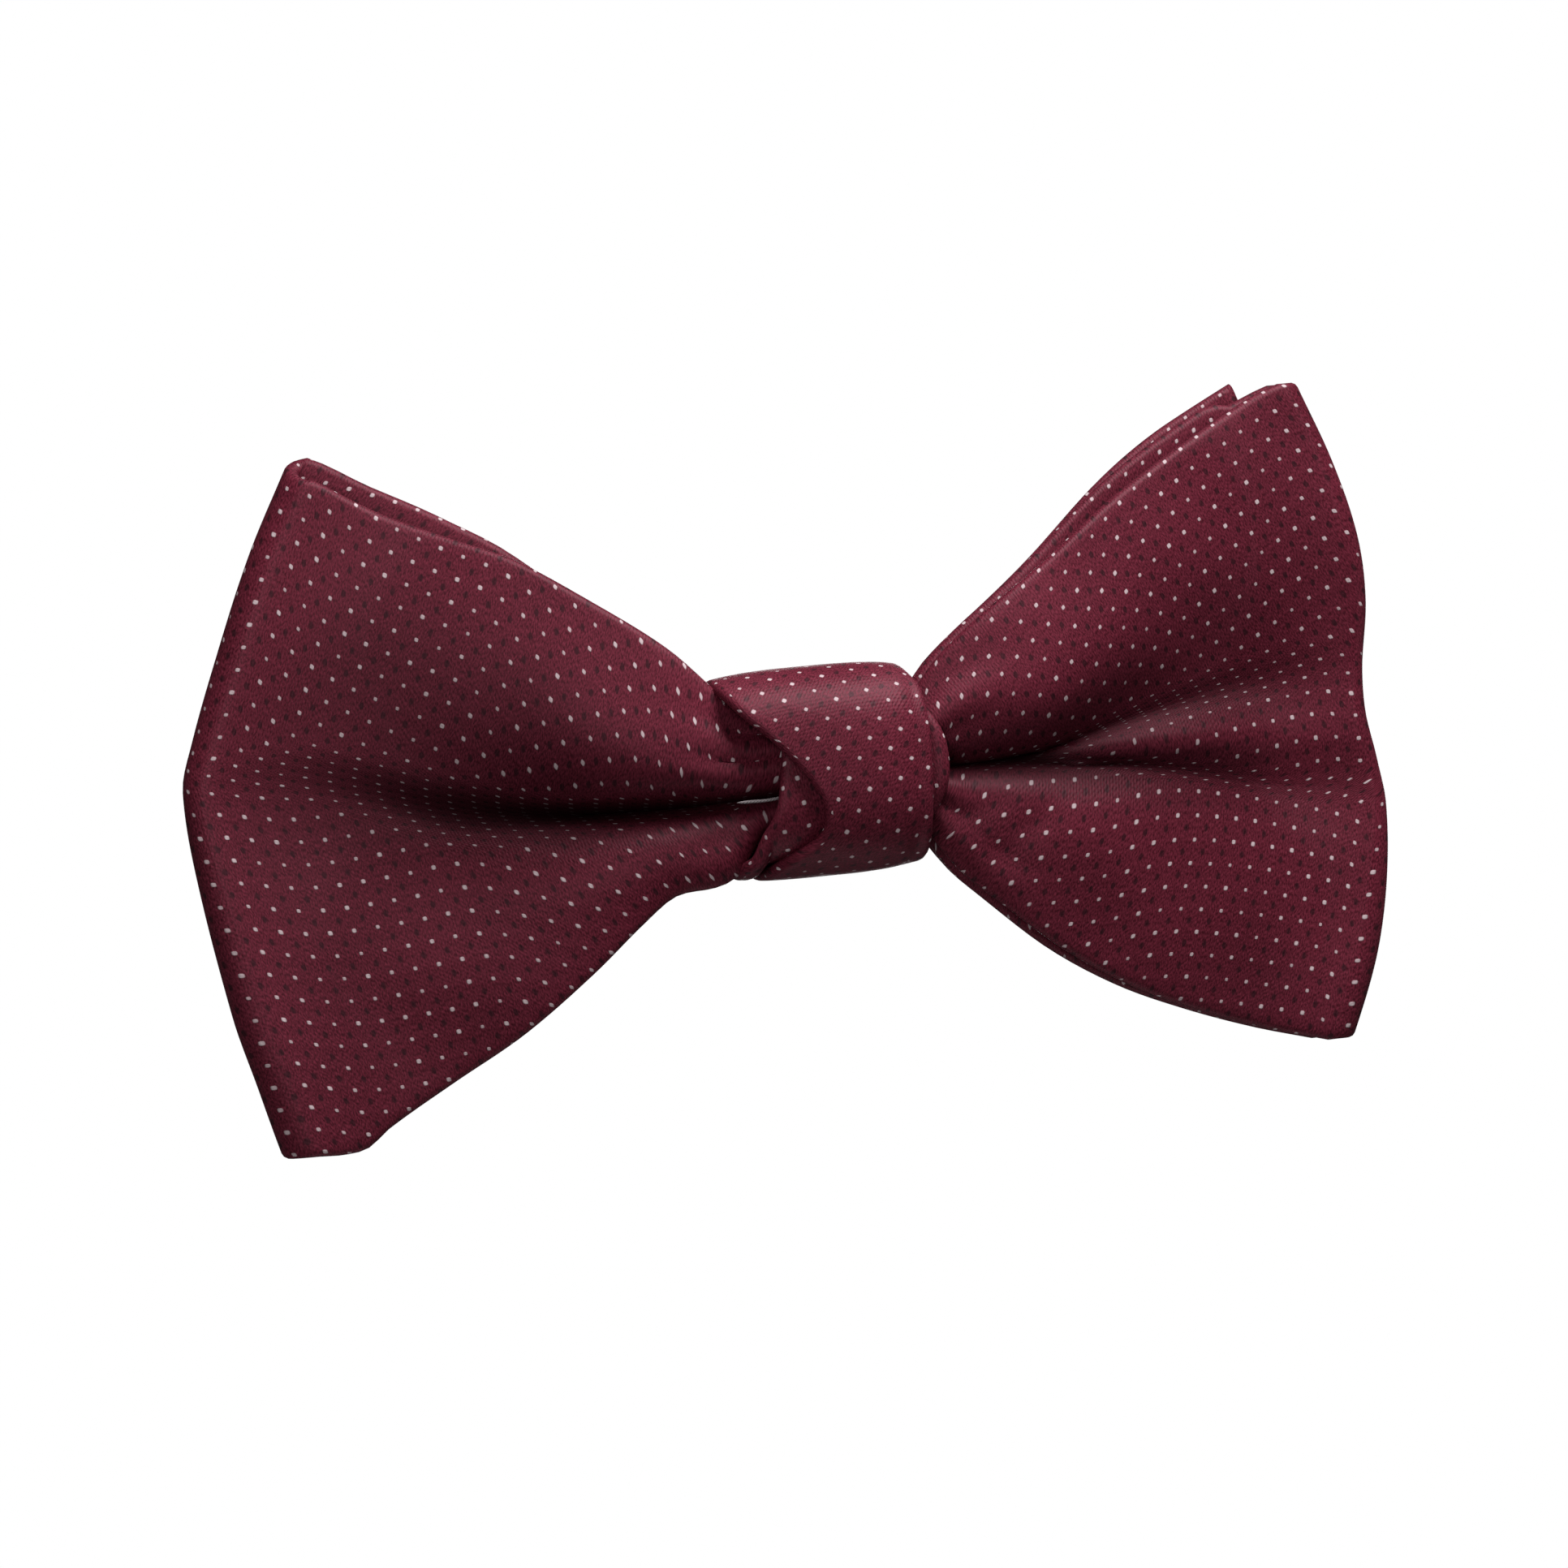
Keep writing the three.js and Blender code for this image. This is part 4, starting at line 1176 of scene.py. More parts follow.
@dataclass(frozen=True)
class SatinFinish:
    """Burgundy satin with woven pin dots: silky, brighter on the slopes that face the light, with painted shade
    darkening its creases.
    """

    low: Colour = (0.055, 0.0052, 0.0115)
    high: Colour = (0.18, 0.0225, 0.043)
    pale: Colour = (0.62, 0.5, 0.52)
    dark: Colour = (0.012, 0.006, 0.008)
    # colour of the painted shade in the creases
    painted_crease_colour: Colour = (0.002, 0.0006, 0.0008)
    gloss: float = 0.25
    pale_radius: float = 0.082
    dark_radius: float = 0.13
    ribs: float = 7.0
    roughness: float = 0.52
    bump: float = 0.55
    bump_depth: float = 0.00003
    clouds: float = 90.0  # scale of the slow changes of colour
    cloudiness: float = 0.6
    contrast: float = 3.6  # of the grain
    grain_start: float = -1.6
    dark_share: float = 0.7
    glint: float = 0.25  # how much less bright a pale dot may be
    dulling: float = 0.16  # how much the grain changes the roughness
    dot_height: float = 1.4
    anisotropy: float = 0.3
    tint: Colour = (1.0, 0.55, 0.62)

    def material(self, effects: Effects) -> bpy.types.Material:
        """Builds the material from the weave and dot groups on the cloth's own map.

        Args:
            effects: the shared node groups.

        Returns:
            The material.
        """
        material, graph, shader = new_material("burgundy_satin")
        places = graph.add("UVMap", {"uv_map": WEAVE_MAP}).outputs[0]
        weave = graph.add("Group", {"node_tree": effects.weave}, Places=places, Ribs=self.ribs)
        dots = graph.add(
            "Group",
            {"node_tree": effects.dots},
            Places=places,
            Pale_Radius=self.pale_radius,
            Dark_Radius=self.dark_radius,
        )
        cloudy = graph.noise(graph.add("TexCoord").outputs["Object"], self.clouds, 3.0)
        slow = graph.math("MULTIPLY_ADD", cloudy, self.cloudiness, self.grain_start)
        grain = graph.math("MULTIPLY_ADD", weave.outputs["Grain"], self.contrast, slow)
        cloth = graph.mix(grain, self.low, self.high)
        darker = graph.mix(graph.math("MULTIPLY", dots.outputs["Dark"], self.dark_share), cloth, self.dark)
        glint = graph.math("MULTIPLY_ADD", dots.outputs["Change"], self.glint, 1 - self.glint)
        colour = graph.mix(graph.math("MULTIPLY", dots.outputs["Pale"], glint), darker, self.pale)
        # painted crease shade: where the point attribute says, the colour is mixed towards the painted shade colour
        # and the gloss is taken away
        painted_shade = graph.add("Attribute", {"attribute_name": PAINTED_SHADE_MAP}).outputs["Fac"]
        graph.feed(shader.inputs["Base Color"], graph.mix(painted_shade, colour, self.painted_crease_colour))
        graph.feed(shader.inputs["Specular IOR Level"], graph.math("MULTIPLY_ADD", painted_shade, -self.gloss, self.gloss))
        dull = graph.math("MULTIPLY_ADD", weave.outputs["Grain"], self.dulling, self.roughness - self.dulling / 2)
        graph.feed(shader.inputs["Roughness"], dull)
        height = graph.math("MULTIPLY_ADD", dots.outputs["Pale"], self.dot_height, weave.outputs["Height"])
        bump = graph.add("Bump", Strength=self.bump, Distance=self.bump_depth, Height=height)
        graph.feed(shader.inputs["Normal"], bump.outputs[0])
        shader.inputs["Anisotropic"].default_value = self.anisotropy
        shader.inputs["Specular Tint"].default_value = (*self.tint, 1.0)
        return material


@dataclass(frozen=True)
class FeltFinish:
    """Matt off-white felt of the interlining."""

    light: Colour = (0.78, 0.75, 0.68)
    shade: Colour = (0.6, 0.56, 0.5)

    def material(self, effects: Effects) -> bpy.types.Material:
        """Builds the material: two noises for tufts and fibres.

        Args:
            effects: the shared node groups; not used.

        Returns:
            The material.
        """
        material, graph, shader = new_material("interlining_felt")
        vector = graph.add("TexCoord").outputs["Object"]
        tufts = graph.noise(vector, 700.0, 4.0)
        graph.feed(shader.inputs["Base Color"], graph.mix(tufts, self.shade, self.light))
        fibres = graph.noise(graph.add("Mapping", Vector=vector, Scale=(1.0, 1.0, 4.0)).outputs[0], 2400.0, 2.0)
        bump = graph.add("Bump", Strength=0.6, Distance=0.00008, Height=graph.math("ADD", tufts, fibres))
        graph.feed(shader.inputs["Normal"], bump.outputs[0])
        graph.feed(shader.inputs["Roughness"], graph.math("MULTIPLY_ADD", tufts, 0.1, 0.85))
        return material


@dataclass(frozen=True)
class ThreadFinish:
    """Twisted thread."""

    name: str
    light: Colour
    shade: Colour
    turns: float = 0.9

    def material(self, effects: Effects) -> bpy.types.Material:
        """Builds the material from the twist group on the thread's own map.

        Args:
            effects: the shared node groups.

        Returns:
            The material.
        """
        material, graph, shader = new_material(self.name)
        places = graph.add("UVMap", {"uv_map": WEAVE_MAP}).outputs[0]
        twist = graph.add("Group", {"node_tree": effects.twist}, Places=places, Turns=self.turns)
        graph.feed(shader.inputs["Base Color"], graph.mix(twist.outputs["Shade"], self.shade, self.light))
        bump = graph.add("Bump", Strength=0.5, Distance=0.00005, Height=twist.outputs["Height"])
        graph.feed(shader.inputs["Normal"], bump.outputs[0])
        graph.feed(shader.inputs["Roughness"], graph.math("MULTIPLY_ADD", twist.outputs["Shade"], 0.15, 0.45))
        shader.inputs["Sheen Weight"].default_value = 0.2
        return material


@dataclass(frozen=True)
class MetalFinish:
    """Metal with fine marks: bright nickel plate, or drawn wire whose scratches run one way."""

    name: str
    light: Colour
    shade: Colour
    roughness: float
    stretch: Point

    def material(self, effects: Effects) -> bpy.types.Material:
        """Builds the material from the wear group on object coordinates.

        Args:
            effects: the shared node groups.

        Returns:
            The material.
        """
        material, graph, shader = new_material(self.name)
        vector = graph.add("TexCoord").outputs["Object"]
        wear = graph.add("Group", {"node_tree": effects.wear}, Vector=vector, Stretch=self.stretch)
        graph.feed(shader.inputs["Base Color"], graph.mix(wear.outputs["Marks"], self.shade, self.light))
        rough = graph.math("MULTIPLY_ADD", wear.outputs["Scratches"], 0.22, self.roughness - 0.08)
        graph.feed(shader.inputs["Roughness"], graph.math("MULTIPLY_ADD", wear.outputs["Marks"], 0.12, rough))
        bump = graph.add("Bump", Strength=0.25, Distance=0.00002, Height=wear.outputs["Scratches"])
        graph.feed(shader.inputs["Normal"], bump.outputs[0])
        shader.inputs["Metallic"].default_value = 1.0
        return material


@dataclass
class Finishes:
    """Every finish of the tie, made once."""

    effects: Effects = field(default_factory=Effects)

    def __post_init__(self) -> None:
        """Builds the materials."""
        self.satin = SatinFinish().material(self.effects)
        self.felt = FeltFinish().material(self.effects)
        sewing = ThreadFinish("sewing_thread", (0.2, 0.03, 0.055), (0.07, 0.01, 0.02))
        gathering = ThreadFinish("gathering_thread", (0.36, 0.31, 0.32), (0.16, 0.13, 0.14))
        nickel = MetalFinish("bright_nickel", (0.74, 0.75, 0.77), (0.56, 0.57, 0.59), 0.24, (1.0, 1.0, 6.0))
        wire = MetalFinish("drawn_wire", (0.5, 0.5, 0.51), (0.33, 0.33, 0.34), 0.34, (1.0, 1.0, 12.0))
        self.sewing = sewing.material(self.effects)
        self.gathering = gathering.material(self.effects)
        self.nickel = nickel.material(self.effects)
        self.wire = wire.material(self.effects)


# ---------- sub-assemblies ----------


def wings_joined(left: Array, right: Array) -> Array:
    """Rows of both wings from left to right: each comes from its outer edge in, and the row in the knot once."""
    return np.concatenate([left, right[::-1][1:]])


@dataclass
class Bow:
    """What both bows share: a tube of cloth with a felt in its pocket."""

    finishes: Finishes
    name: str = ""
    cloth_on: str = ""  # what the cloth lies on
    half: float = 0.75  # half the tube's thickness
    pocket_half: float = 0.33
    felt_half: float = 0.2
    seam: float = 1.3  # width of the seam allowance beside the pocket
    felt_margin: float = 2.0
    cloth_gathers: float = 1.25
    felt_gathers: float = 1.15
    columns: int = 72
    most_narrowed: float = 0.2  # share of the half height

    def narrowed(self, v: Array, u: Array, wing: Wing, margin: float) -> Array:
        """v drawn in from the long edges by a margin in millimetres, at most by a share of the half height."""
        return v * (1 - np.minimum(margin / wing.half_height(u, v), self.most_narrowed))

    def grid(self, places: Array) -> tuple[Array, Array]:
        """Two grids: the given places along the wing by row, and v from -1 to 1 by column."""
        return np.meshgrid(places, np.linspace(-1.0, 1.0, self.columns), indexing="ij")

    def wing_rows(self, wing: Wing, margin: float) -> tuple[Array, Array]:
        """Points and flat places of one wing from its outer end to the middle; each bow has its own."""
        raise NotImplementedError

    def painted_shade(self) -> Array | None:
        """Painted crease shade of the points of the middle surface, where the bow has creases."""
        return None

    def rows(self, margin: float) -> tuple[Array, ClothPlaces]:
        """The bow's middle surface.

        Args:
            margin: how far its long edges are drawn in.

        Returns:
            Its points, and their places on the flat cloth.
        """
        (left, left_flat), (right, right_flat) = (self.wing_rows(wing, margin) for wing in (LEFT, RIGHT))
        return wings_joined(left, right), ClothPlaces(ring_flat(left_flat), ring_flat(right_flat[::-1]))

    def build(self) -> list[bpy.types.Object]:
        """Builds the cloth and the felt, and hides their CAD solids.

        Returns:
            The cloth and the felt.
        """
        middle, places = self.rows(0.0)
        pocket = self.rows(self.seam)[0]
        tube = turned_tube(middle, pocket, self.half, self.pocket_half, places)
        # painted crease shade on the outer skin's points; none on the pocket's inner skin
        painted_shade = self.painted_shade()
        if painted_shade is not None:
            shaded = ring_values(painted_shade).ravel()
            tube.painted_shade = np.concatenate([shaded, np.zeros_like(shaded)])
        cloth = add_piece(f"{self.name}_cloth", tube, self.finishes.satin)
        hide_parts(f"{self.name}_shell")
        sheet = capped_sheet(self.rows(self.felt_margin)[0], self.felt_half)
        felt = add_piece(f"{self.name}_felt", sheet, self.finishes.felt)
        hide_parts(f"{self.name}_interlining")
        return [cloth, felt]


@dataclass
class FrontBow(Bow):
    """The front bow: a tube folded into a loop, whose ends meet at the centre back."""

    name: str = "front_bow"
    cloth_on: str = "rear_bow_cloth"
    leaf_rows: int = 56
    back_rows: int = 34
    fold_rows: int = 8
    fold_cloth: float = 6.0  # length of cloth round the outer fold
    end_gap: float = 1.2

    def painted_shade(self) -> Array:
        """Painted crease shade of the points of the middle surface: none on the back leaves.

        Returns:
            rows by columns, from 0 to 1.
        """
        u, v = self.grid(np.linspace(1, 0, self.leaf_rows))
        behind = np.zeros((self.back_rows + self.fold_rows, self.columns))
        return wings_joined(*(np.concatenate([behind, wing.painted_shade(u, v)]) for wing in (LEFT, RIGHT)))

    def wing_rows(self, wing: Wing, margin: float) -> tuple[Array, Array]:
        """One wing's back leaf, from the middle out, then its outer fold, then its front leaf back to the middle.

        Args:
            wing: the wing.
            margin: how far its long edges are drawn in.

        Returns:
            Its points, and their places on the flat cloth in millimetres.
        """
        start = self.end_gap / 2 / wing.outer.at(0.0)
        back_u, v = self.grid(np.linspace(start, 1, self.back_rows))
        turn, fold_v = self.grid(np.linspace(1, 0, self.fold_rows + 2)[1:-1])
        front_u, front_v = self.grid(np.linspace(1, 0, self.leaf_rows))
        one = np.ones_like(turn)
        back = wing.back(back_u, self.narrowed(v, back_u, wing, margin))
        fold = wing.fold(turn, self.narrowed(fold_v, one, wing, margin))
        front = wing.front(front_u, self.narrowed(front_v, front_u, wing, margin))
        fold_flat = wing.flat(wing.front(one, fold_v), one, fold_v)
        fold_flat[..., 0] += self.fold_cloth * turn
        back_flat = wing.flat_behind(back_u, v, self.fold_cloth)
        flats = [back_flat, fold_flat, wing.flat(front, front_u, front_v)]
        return np.concatenate([back, fold, front]), np.concatenate(flats)


@dataclass
class RearBow(Bow):
    """The rear bow: one flat tube across the back, which stops short of the front bow's edges."""

    name: str = "rear_bow"
    cloth_on: str = "knot_under_band"
    leaf_rows: int = 44
    shorter: float = 6.0
    columns: int = 56

    def wing_rows(self, wing: Wing, margin: float) -> tuple[Array, Array]:
        """One wing from its outer end to the middle.

        Args:
            wing: the wing.
            margin: how far its long edges are drawn in.

        Returns:
            Its points, and their places on the flat cloth in millimetres.
        """
        u, v = self.grid(np.linspace(1, 0, self.leaf_rows))
        half = wing.rear(u, self.narrowed(v, u, wing, margin), self.shorter)
        return half, wing.flat(half, u, v)


@dataclass(frozen=True)
class Section:
    """The knot's rounded section: |y|^n + |z|^n = 1 with each half size, about its own middle."""

    middle_y: float = -10.9
    middle_z: float = 0.3
    half_depth: float = 9.3
    half_height: float = 10.1
    exponent: float = 2.8

    def points(self, sunk: float, turn: Array, x: Array | float = 0.0) -> Array:
        """Points below the knot's face.

        Args:
            sunk: how far below it.
            turn: angles in radians: 0 is the front, and a quarter turn the top.
            x: how far across.

        Returns:
            turn's shape by 3.
        """
        cosine, sine = np.cos(turn), np.sin(turn)
        power = 2.0 / self.exponent
        forward = np.sign(cosine) * np.abs(cosine) ** power
        up = np.sign(sine) * np.abs(sine) ** power
        y = self.middle_y - (self.half_depth - sunk) * forward
        z = self.middle_z + (self.half_height - sunk) * up
        return np.stack(np.broadcast_arrays(x, y, z), axis=-1)


SECTION = Section()
SECTION_POINTS = 4001  # before they are spread evenly
FRONT_SHARE = 1.6  # the relief grows from the section's middle, and is full at 1 / 1.6 of its half depth


@dataclass(frozen=True)
class Band:
    """One turn of the wrap round the knot."""

    name: str
    replaces: str
    sunk: float
    left: Callable[[Array, Array], Array]
    right: Callable[[Array, Array], Array]
    relief: Callable[[Array, Array, Array], Array]
    lattice: float  # how far its weave is turned, in degrees
    half: float = 0.65
    rows: int = 180
    columns: int = 44
    crown: float = 0.075
    crown_middle: float = -3.6
    crown_reach: float = 10.0

    def middle(self) -> Array:
        """The band's middle surface.

        Its points are spread evenly round the knot's section and between the two edges. They are drawn in towards
        the section's middle by the cube of the distance from the crown, and moved out by the relief.

        Returns:
            rows by columns by 3, in millimetres.
        """
        dense = SECTION.points(self.sunk + self.half, np.linspace(-math.pi, math.pi, SECTION_POINTS))
        ring = resampled(dense, self.rows, closed=True)
        height = (ring[:, 2] - SECTION.middle_z) / SECTION.half_height
        forward = (SECTION.middle_y - ring[:, 1]) / SECTION.half_depth
        left = (self.left(height, forward) + self.half)[:, None]
        right = (self.right(height, forward) - self.half)[:, None]
        x = lerp(left, right, np.linspace(0, 1, self.columns)[None, :])
        drawn = 1 - self.crown * np.abs((x - self.crown_middle) / self.crown_reach) ** 3
        y = SECTION.middle_y + (ring[:, 1:2] - SECTION.middle_y) * drawn
        z = SECTION.middle_z + (ring[:, 2:3] - SECTION.middle_z) * drawn
        front = ease(forward[:, None] * FRONT_SHARE)
        outward = unit(np.stack([y - SECTION.middle_y, z - SECTION.middle_z], axis=-1))
        moved = self.relief(x, z, front)
        return np.stack([x, y + outward[..., 0] * moved, z + outward[..., 1] * moved], axis=-1)

    def surface(self) -> tuple[Surface, float, float]:
        """The closed band, with the length and the mean width of its cloth.

        Returns:
            The surface, the length and the width, in millimetres.
        """
        middle = self.middle()
        rings = rings_round(middle, self.half, closed=True)
        way = travelled(np.concatenate([middle, middle[:1]]))
        centre = way[:, self.columns // 2]
        length = float(centre[-1])
        across = np.concatenate([middle[..., 0], middle[:1, :, 0]])
        x = ring_places(across)
        along = np.broadcast_to(-centre[:, None], x.shape)
        cosine, sine = math.cos(math.radians(self.lattice)), math.sin(math.radians(self.lattice))
        turned = np.stack([cosine * x + sine * along, -sine * x + cosine * along], axis=-1)
        surface = grid_surface(rings, turned / DOT_PITCH, across_closed=True, along_closed=True)
        return surface, length, float((across[:, -1] - across[:, 0]).mean() + 2 * self.half)


WRAP_LEFT = Course(
    ((-10.4, -10.2), (-9.5, -9.8), (-8.2, -8.1), (-6.2, -5.2), (-3.6, -4.5), (-0.8, -5.6), (3.3, -8.8))
    + ((6.2, -11.4), (9.3, -13.2), (10.4, -13.4))
)
WRAP_BEHIND = (-10.2, -13.4)  # its left edge behind, at the bottom and at the top
WRAP_BEHIND_BOW = 2.6
TONGUE_LEFT = Course(
    ((-7.6, -12.6), (-7.2, -12.2), (-6.4, -11.0), (-3.2, -9.0), (0.5, -8.1), (3.7, -7.4), (6.0, -5.6), (9.0, -3.4))
)
TONGUE_BEHIND = -8.4  # the under turn's left edge behind


def wrap_left(height: Array, forward: Array) -> Array:
    """Left edge of the outer turn: its drawn course in front, and a shallow bow behind.

    Args:
        height: from -1 at the bottom of the section to 1 at its top.
        forward: from -1 behind to 1 in front.

    Returns:
        Places across, in millimetres.
    """
    front = WRAP_LEFT.at(SECTION.middle_z + SECTION.half_height * height)
    behind = lerp(*WRAP_BEHIND, (height + 1) / 2) + WRAP_BEHIND_BOW * (1 - height**2)
    return lerp(behind, front, ease(forward * 3 + 0.5))


def wrap_right(height: Array, forward: Array) -> Array:
    """Right edge of the outer turn: nearly straight, drawn in at the top, and the same in front and behind."""
    return 6.3 + 0.2 * np.sin(3.0 * height + 0.6) - 0.9 * ease((height - 0.7) / 0.3)


def wrap_relief(x: Array, z: Array, front: Array) -> Array:
    """Relief of the outer turn's front.

    A soft fold runs from the lowest point of the left edge to the bottom, and the facet below and left of it lies
    deeper; the band swells a little in the middle and dips before its right edge.

    Args:
        x: places across, in millimetres.
        z: heights, in millimetres.
        front: 0 behind to 1 in front.

    Returns:
        How far the cloth is moved outwards, in millimetres.
    """
    beside = (-3.2 - x) * 0.86 - (z + 6.2) * 0.5
    facet = -0.3 * ease(beside / 3.2 + 0.35) * ease((-2.5 - z) / 3.0)
    swell = 0.35 * bell(np.hypot(x / 6.0, (z - 1.0) / 8.0))
    dip = -0.3 * bell((x - 4.9 - 0.05 * z) / 0.9)
    return front * (facet + swell + dip)


def tongue_left(height: Array, forward: Array) -> Array:
    """Left edge of the under turn: a tongue that flares at the lower left in front, and a straight edge behind."""
    front = TONGUE_LEFT.at(SECTION.middle_z + SECTION.half_height * height)
    return lerp(TONGUE_BEHIND, front, ease(forward * 2 + 0.8))


def tongue_right(height: Array, forward: Array) -> Array:
    """Right edge of the under turn: it bows out beside the outer turn in front."""
    return 4.4 + 5.2 * np.maximum(0, forward) * (1 - height**2)


def tongue_relief(x: Array, z: Array, front: Array) -> Array:
    """Relief of the under turn's front: it swells at the right and in the tongue, whose tip curls out.

    Args:
        x: places across, in millimetres.
        z: heights, in millimetres.
        front: 0 behind to 1 in front.

    Returns:
        How far the cloth is moved outwards, in millimetres.
    """
    strip = 0.7 * ease((x - 6.4) / 1.6)
    tongue = 0.5 * bell(np.hypot((x + 7.4) / 2.4, (z + 3.4) / 5.0))
    tip = 1.5 * ease((-9.2 - x) / 1.8) * ease((-3.5 - z) / 3.0)
    return front * (strip + tongue) + tip


@dataclass
class Knot:
    """The two turns of the wrap."""

    finishes: Finishes

    def build(self) -> list[bpy.types.Object]:
        """Returns:
            The pieces, in the order of their making.
        """
        bands = (
            Band("knot_wrap_band", "knot_wrap", 0.0, wrap_left, wrap_right, wrap_relief, 32.0),
            Band("knot_under_band", "knot_under_wrap", 1.6, tongue_left, tongue_right, tongue_relief, -10.0),
        )
        pieces = []
        for band in bands:
            surface, length, width = band.surface()
            piece = add_piece(band.name, surface, self.finishes.satin)
            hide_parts(band.replaces)
            pieces.append(piece)
        return pieces


OFF_AXIS = (0.31, 0.22, 0.92)  # a direction that no thread takes
SMOOTHING = 12  # points of the smooth curve for each point of a path


@dataclass(frozen=True)
class Strand:
    """A thread along a path of points."""

    name: str
    replaces: str
    path: Array
    diameter: float
    steps: int
    round_steps: int = 10

    def surface(self) -> Surface:
        """A round tube along the path.

        The path's points are joined by a smooth curve and spread evenly. Each ring lies in the plane of two vectors
        square to the path: the path's direction crossed with a fixed axis, and the cross product of those two. Both
        ends draw in to a point.

        Returns:
            The closed surface.
        """
        index = np.arange(len(self.path), dtype=float)
        fine = np.linspace(0, len(self.path) - 1, SMOOTHING * len(self.path))
        curve = np.stack([Course(tuple(zip(index, self.path[:, k]))).at(fine) for k in range(3)], axis=-1)
        centre = resampled(curve, self.steps)
        forward = unit(np.gradient(centre, axis=0))
        side = unit(np.cross(forward, np.array(OFF_AXIS)))
        other = np.cross(forward, side)
        angle = np.linspace(0, 2 * math.pi, self.round_steps, endpoint=False)[None, :, None]
        share = np.linspace(0, 1, self.steps)
        ends = np.minimum(share, 1 - share) * self.steps / 3.0
        radius = (self.diameter / 2 * np.clip(np.sqrt(np.minimum(ends, 1.0)), 0.02, 1.0))[:, None, None]
        rings = centre[:, None] + radius * (np.cos(angle) * side[:, None] + np.sin(angle) * other[:, None])
        along = travelled(centre)[:, None] * np.ones((1, self.round_steps + 1))
        turned = np.ones((self.steps, 1)) * np.linspace(0, 1, self.round_steps + 1)[None, :]
        tube = grid_surface(rings, np.stack([along / self.diameter / 3, turned], axis=-1), across_closed=True)
        n = self.round_steps
        k = np.arange(n // 2 - 1)
        cap = np.stack([k, k + 1, n - 2 - k, n - 1 - k], axis=-1)
        return with_ends(tube, cap, n)


@dataclass
class Sewing:
    """The threads: the gathering thread, the seams of the cloth, and the stitches that hold the clip."""

    finishes: Finishes
    gather_sunk: float = 3.45
    gather_turns: int = 3
    gather_pitch: float = 0.8
    gather_thread: float = 0.3
    tail: tuple[Point, ...] = ((-4.2, -16.75, -0.5), (-8.2, -16.9, -1.9), (-12.4, -17.2, -2.0))
    seam_thread: float = 0.4
    seam_from: float = -3.2
    seam_to: float = 5.4
    seam_depth: float = -1.1
    seam_low: float = -7.2
    seam_stitch: float = 1.4
    seam_stitches: int = 12
    end_depth: float = -9.425
    end_reach: float = 3.6
    end_half: float = 0.4
    end_stitches: int = 10
    stitch_out: float = 3.6
    stitch_thick: float = 0.8

    def gathering(self) -> Array:
        """Path of the gathering thread: turns round the section, then its loose end beside the left crease.

        Returns:
            Points by 3, in millimetres.
        """
        share = np.linspace(0, self.gather_turns, 24 * self.gather_turns + 1)
        x = -self.gather_pitch * (share - self.gather_turns / 2)
        coil = SECTION.points(self.gather_sunk, 2 * math.pi * share, x)
        return np.concatenate([coil, np.array(self.tail)])

    def wrap_seam(self) -> Array:
        """Path of the zigzag that closes the wrap at the back.

        Returns:
            Points by 3, in millimetres.
        """
        i = np.arange(self.seam_stitches + 1)
        x = lerp(self.seam_from, self.seam_to, i / self.seam_stitches)
        z = self.seam_low + self.seam_stitch * (i % 2)
        return np.stack([x, np.full_like(x, self.seam_depth), z], axis=-1)

    def end_seam(self) -> Array:
        """Path of the stitches across the gap between the front bow's ends.

        Returns:
            Points by 3, in millimetres.
        """
        i = np.arange(self.end_stitches + 1)
        x = self.end_half * (2.0 * (i % 2) - 1)
        z = lerp(-self.end_reach, self.end_reach, i / self.end_stitches)
        return np.stack([x, np.full_like(x, self.end_depth), z], axis=-1)

    def clip_stitch(self, side: int) -> Array:
        """Path of a bundle of stitches over the plate's bar, between its two slots.

        Args:
            side: 1 for the right bundle or -1 for the left.

        Returns:
            Points by 3, in millimetres.
        """
        profile = np.array(
            [(-1.3, -2.1), (-0.5, -2.1), (0.2, -1.5), (0.3, 0.0), (0.2, 1.5), (-0.5, 2.1), (-1.3, 2.1)]
        )
        x = np.full(len(profile), side * self.stitch_out)
        return np.stack([x, profile[:, 0], profile[:, 1]], axis=-1)

    def build(self) -> list[bpy.types.Object]:
        """Builds the five threads in the places of their CAD solids.

        Returns:
            The pieces, in the order of their making.
        """
        sewing, gathering = self.finishes.sewing, self.finishes.gathering
        strands = [
            (Strand("gathering_strand", "gather_thread", self.gathering(), self.gather_thread, 420), gathering),
            (Strand("wrap_seam_strand", "wrap_seam_thread", self.wrap_seam(), self.seam_thread, 200), sewing),
            (Strand("end_seam_strand", "front_bow_end_seam", self.end_seam(), self.seam_thread, 160), sewing),
        ]
        for side, word in ((1, "right"), (-1, "left")):
            path = self.clip_stitch(side)
            strand = Strand(f"clip_strand_{word}", f"clip_stitch_{word}", path, self.stitch_thick, 60, 16)
            strands.append((strand, sewing))
        pieces = []
        for strand, material in strands:
            piece = add_piece(strand.name, strand.surface(), material)
            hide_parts(strand.replaces)
            pieces.append(piece)
        return pieces


@dataclass
class Clip:
    """The sprung clip: its CAD nodes keep their shapes and get metal finishes."""

    finishes: Finishes
    nodes: dict[str, bpy.types.Object]
    plated: tuple[str, ...] = ("clip_plate", "clip_jaw_right", "clip_jaw_left", "clip_pin_right", "clip_pin_left")
    sprung: tuple[str, ...] = ("clip_spring_right", "clip_spring_left")

    def build(self) -> list[bpy.types.Object]:
        """Assigns the finishes.

        Returns:
            The dressed nodes.
        """
        dressed = [(name, self.finishes.nickel) for name in self.plated]
        dressed += [(name, self.finishes.wire) for name in self.sprung]
        for name, material in dressed:
            slots = self.nodes[name].data.materials
            slots.clear()
            slots.append(material)
        return [self.nodes[name] for name, _ in dressed]


# ---------- studio ----------


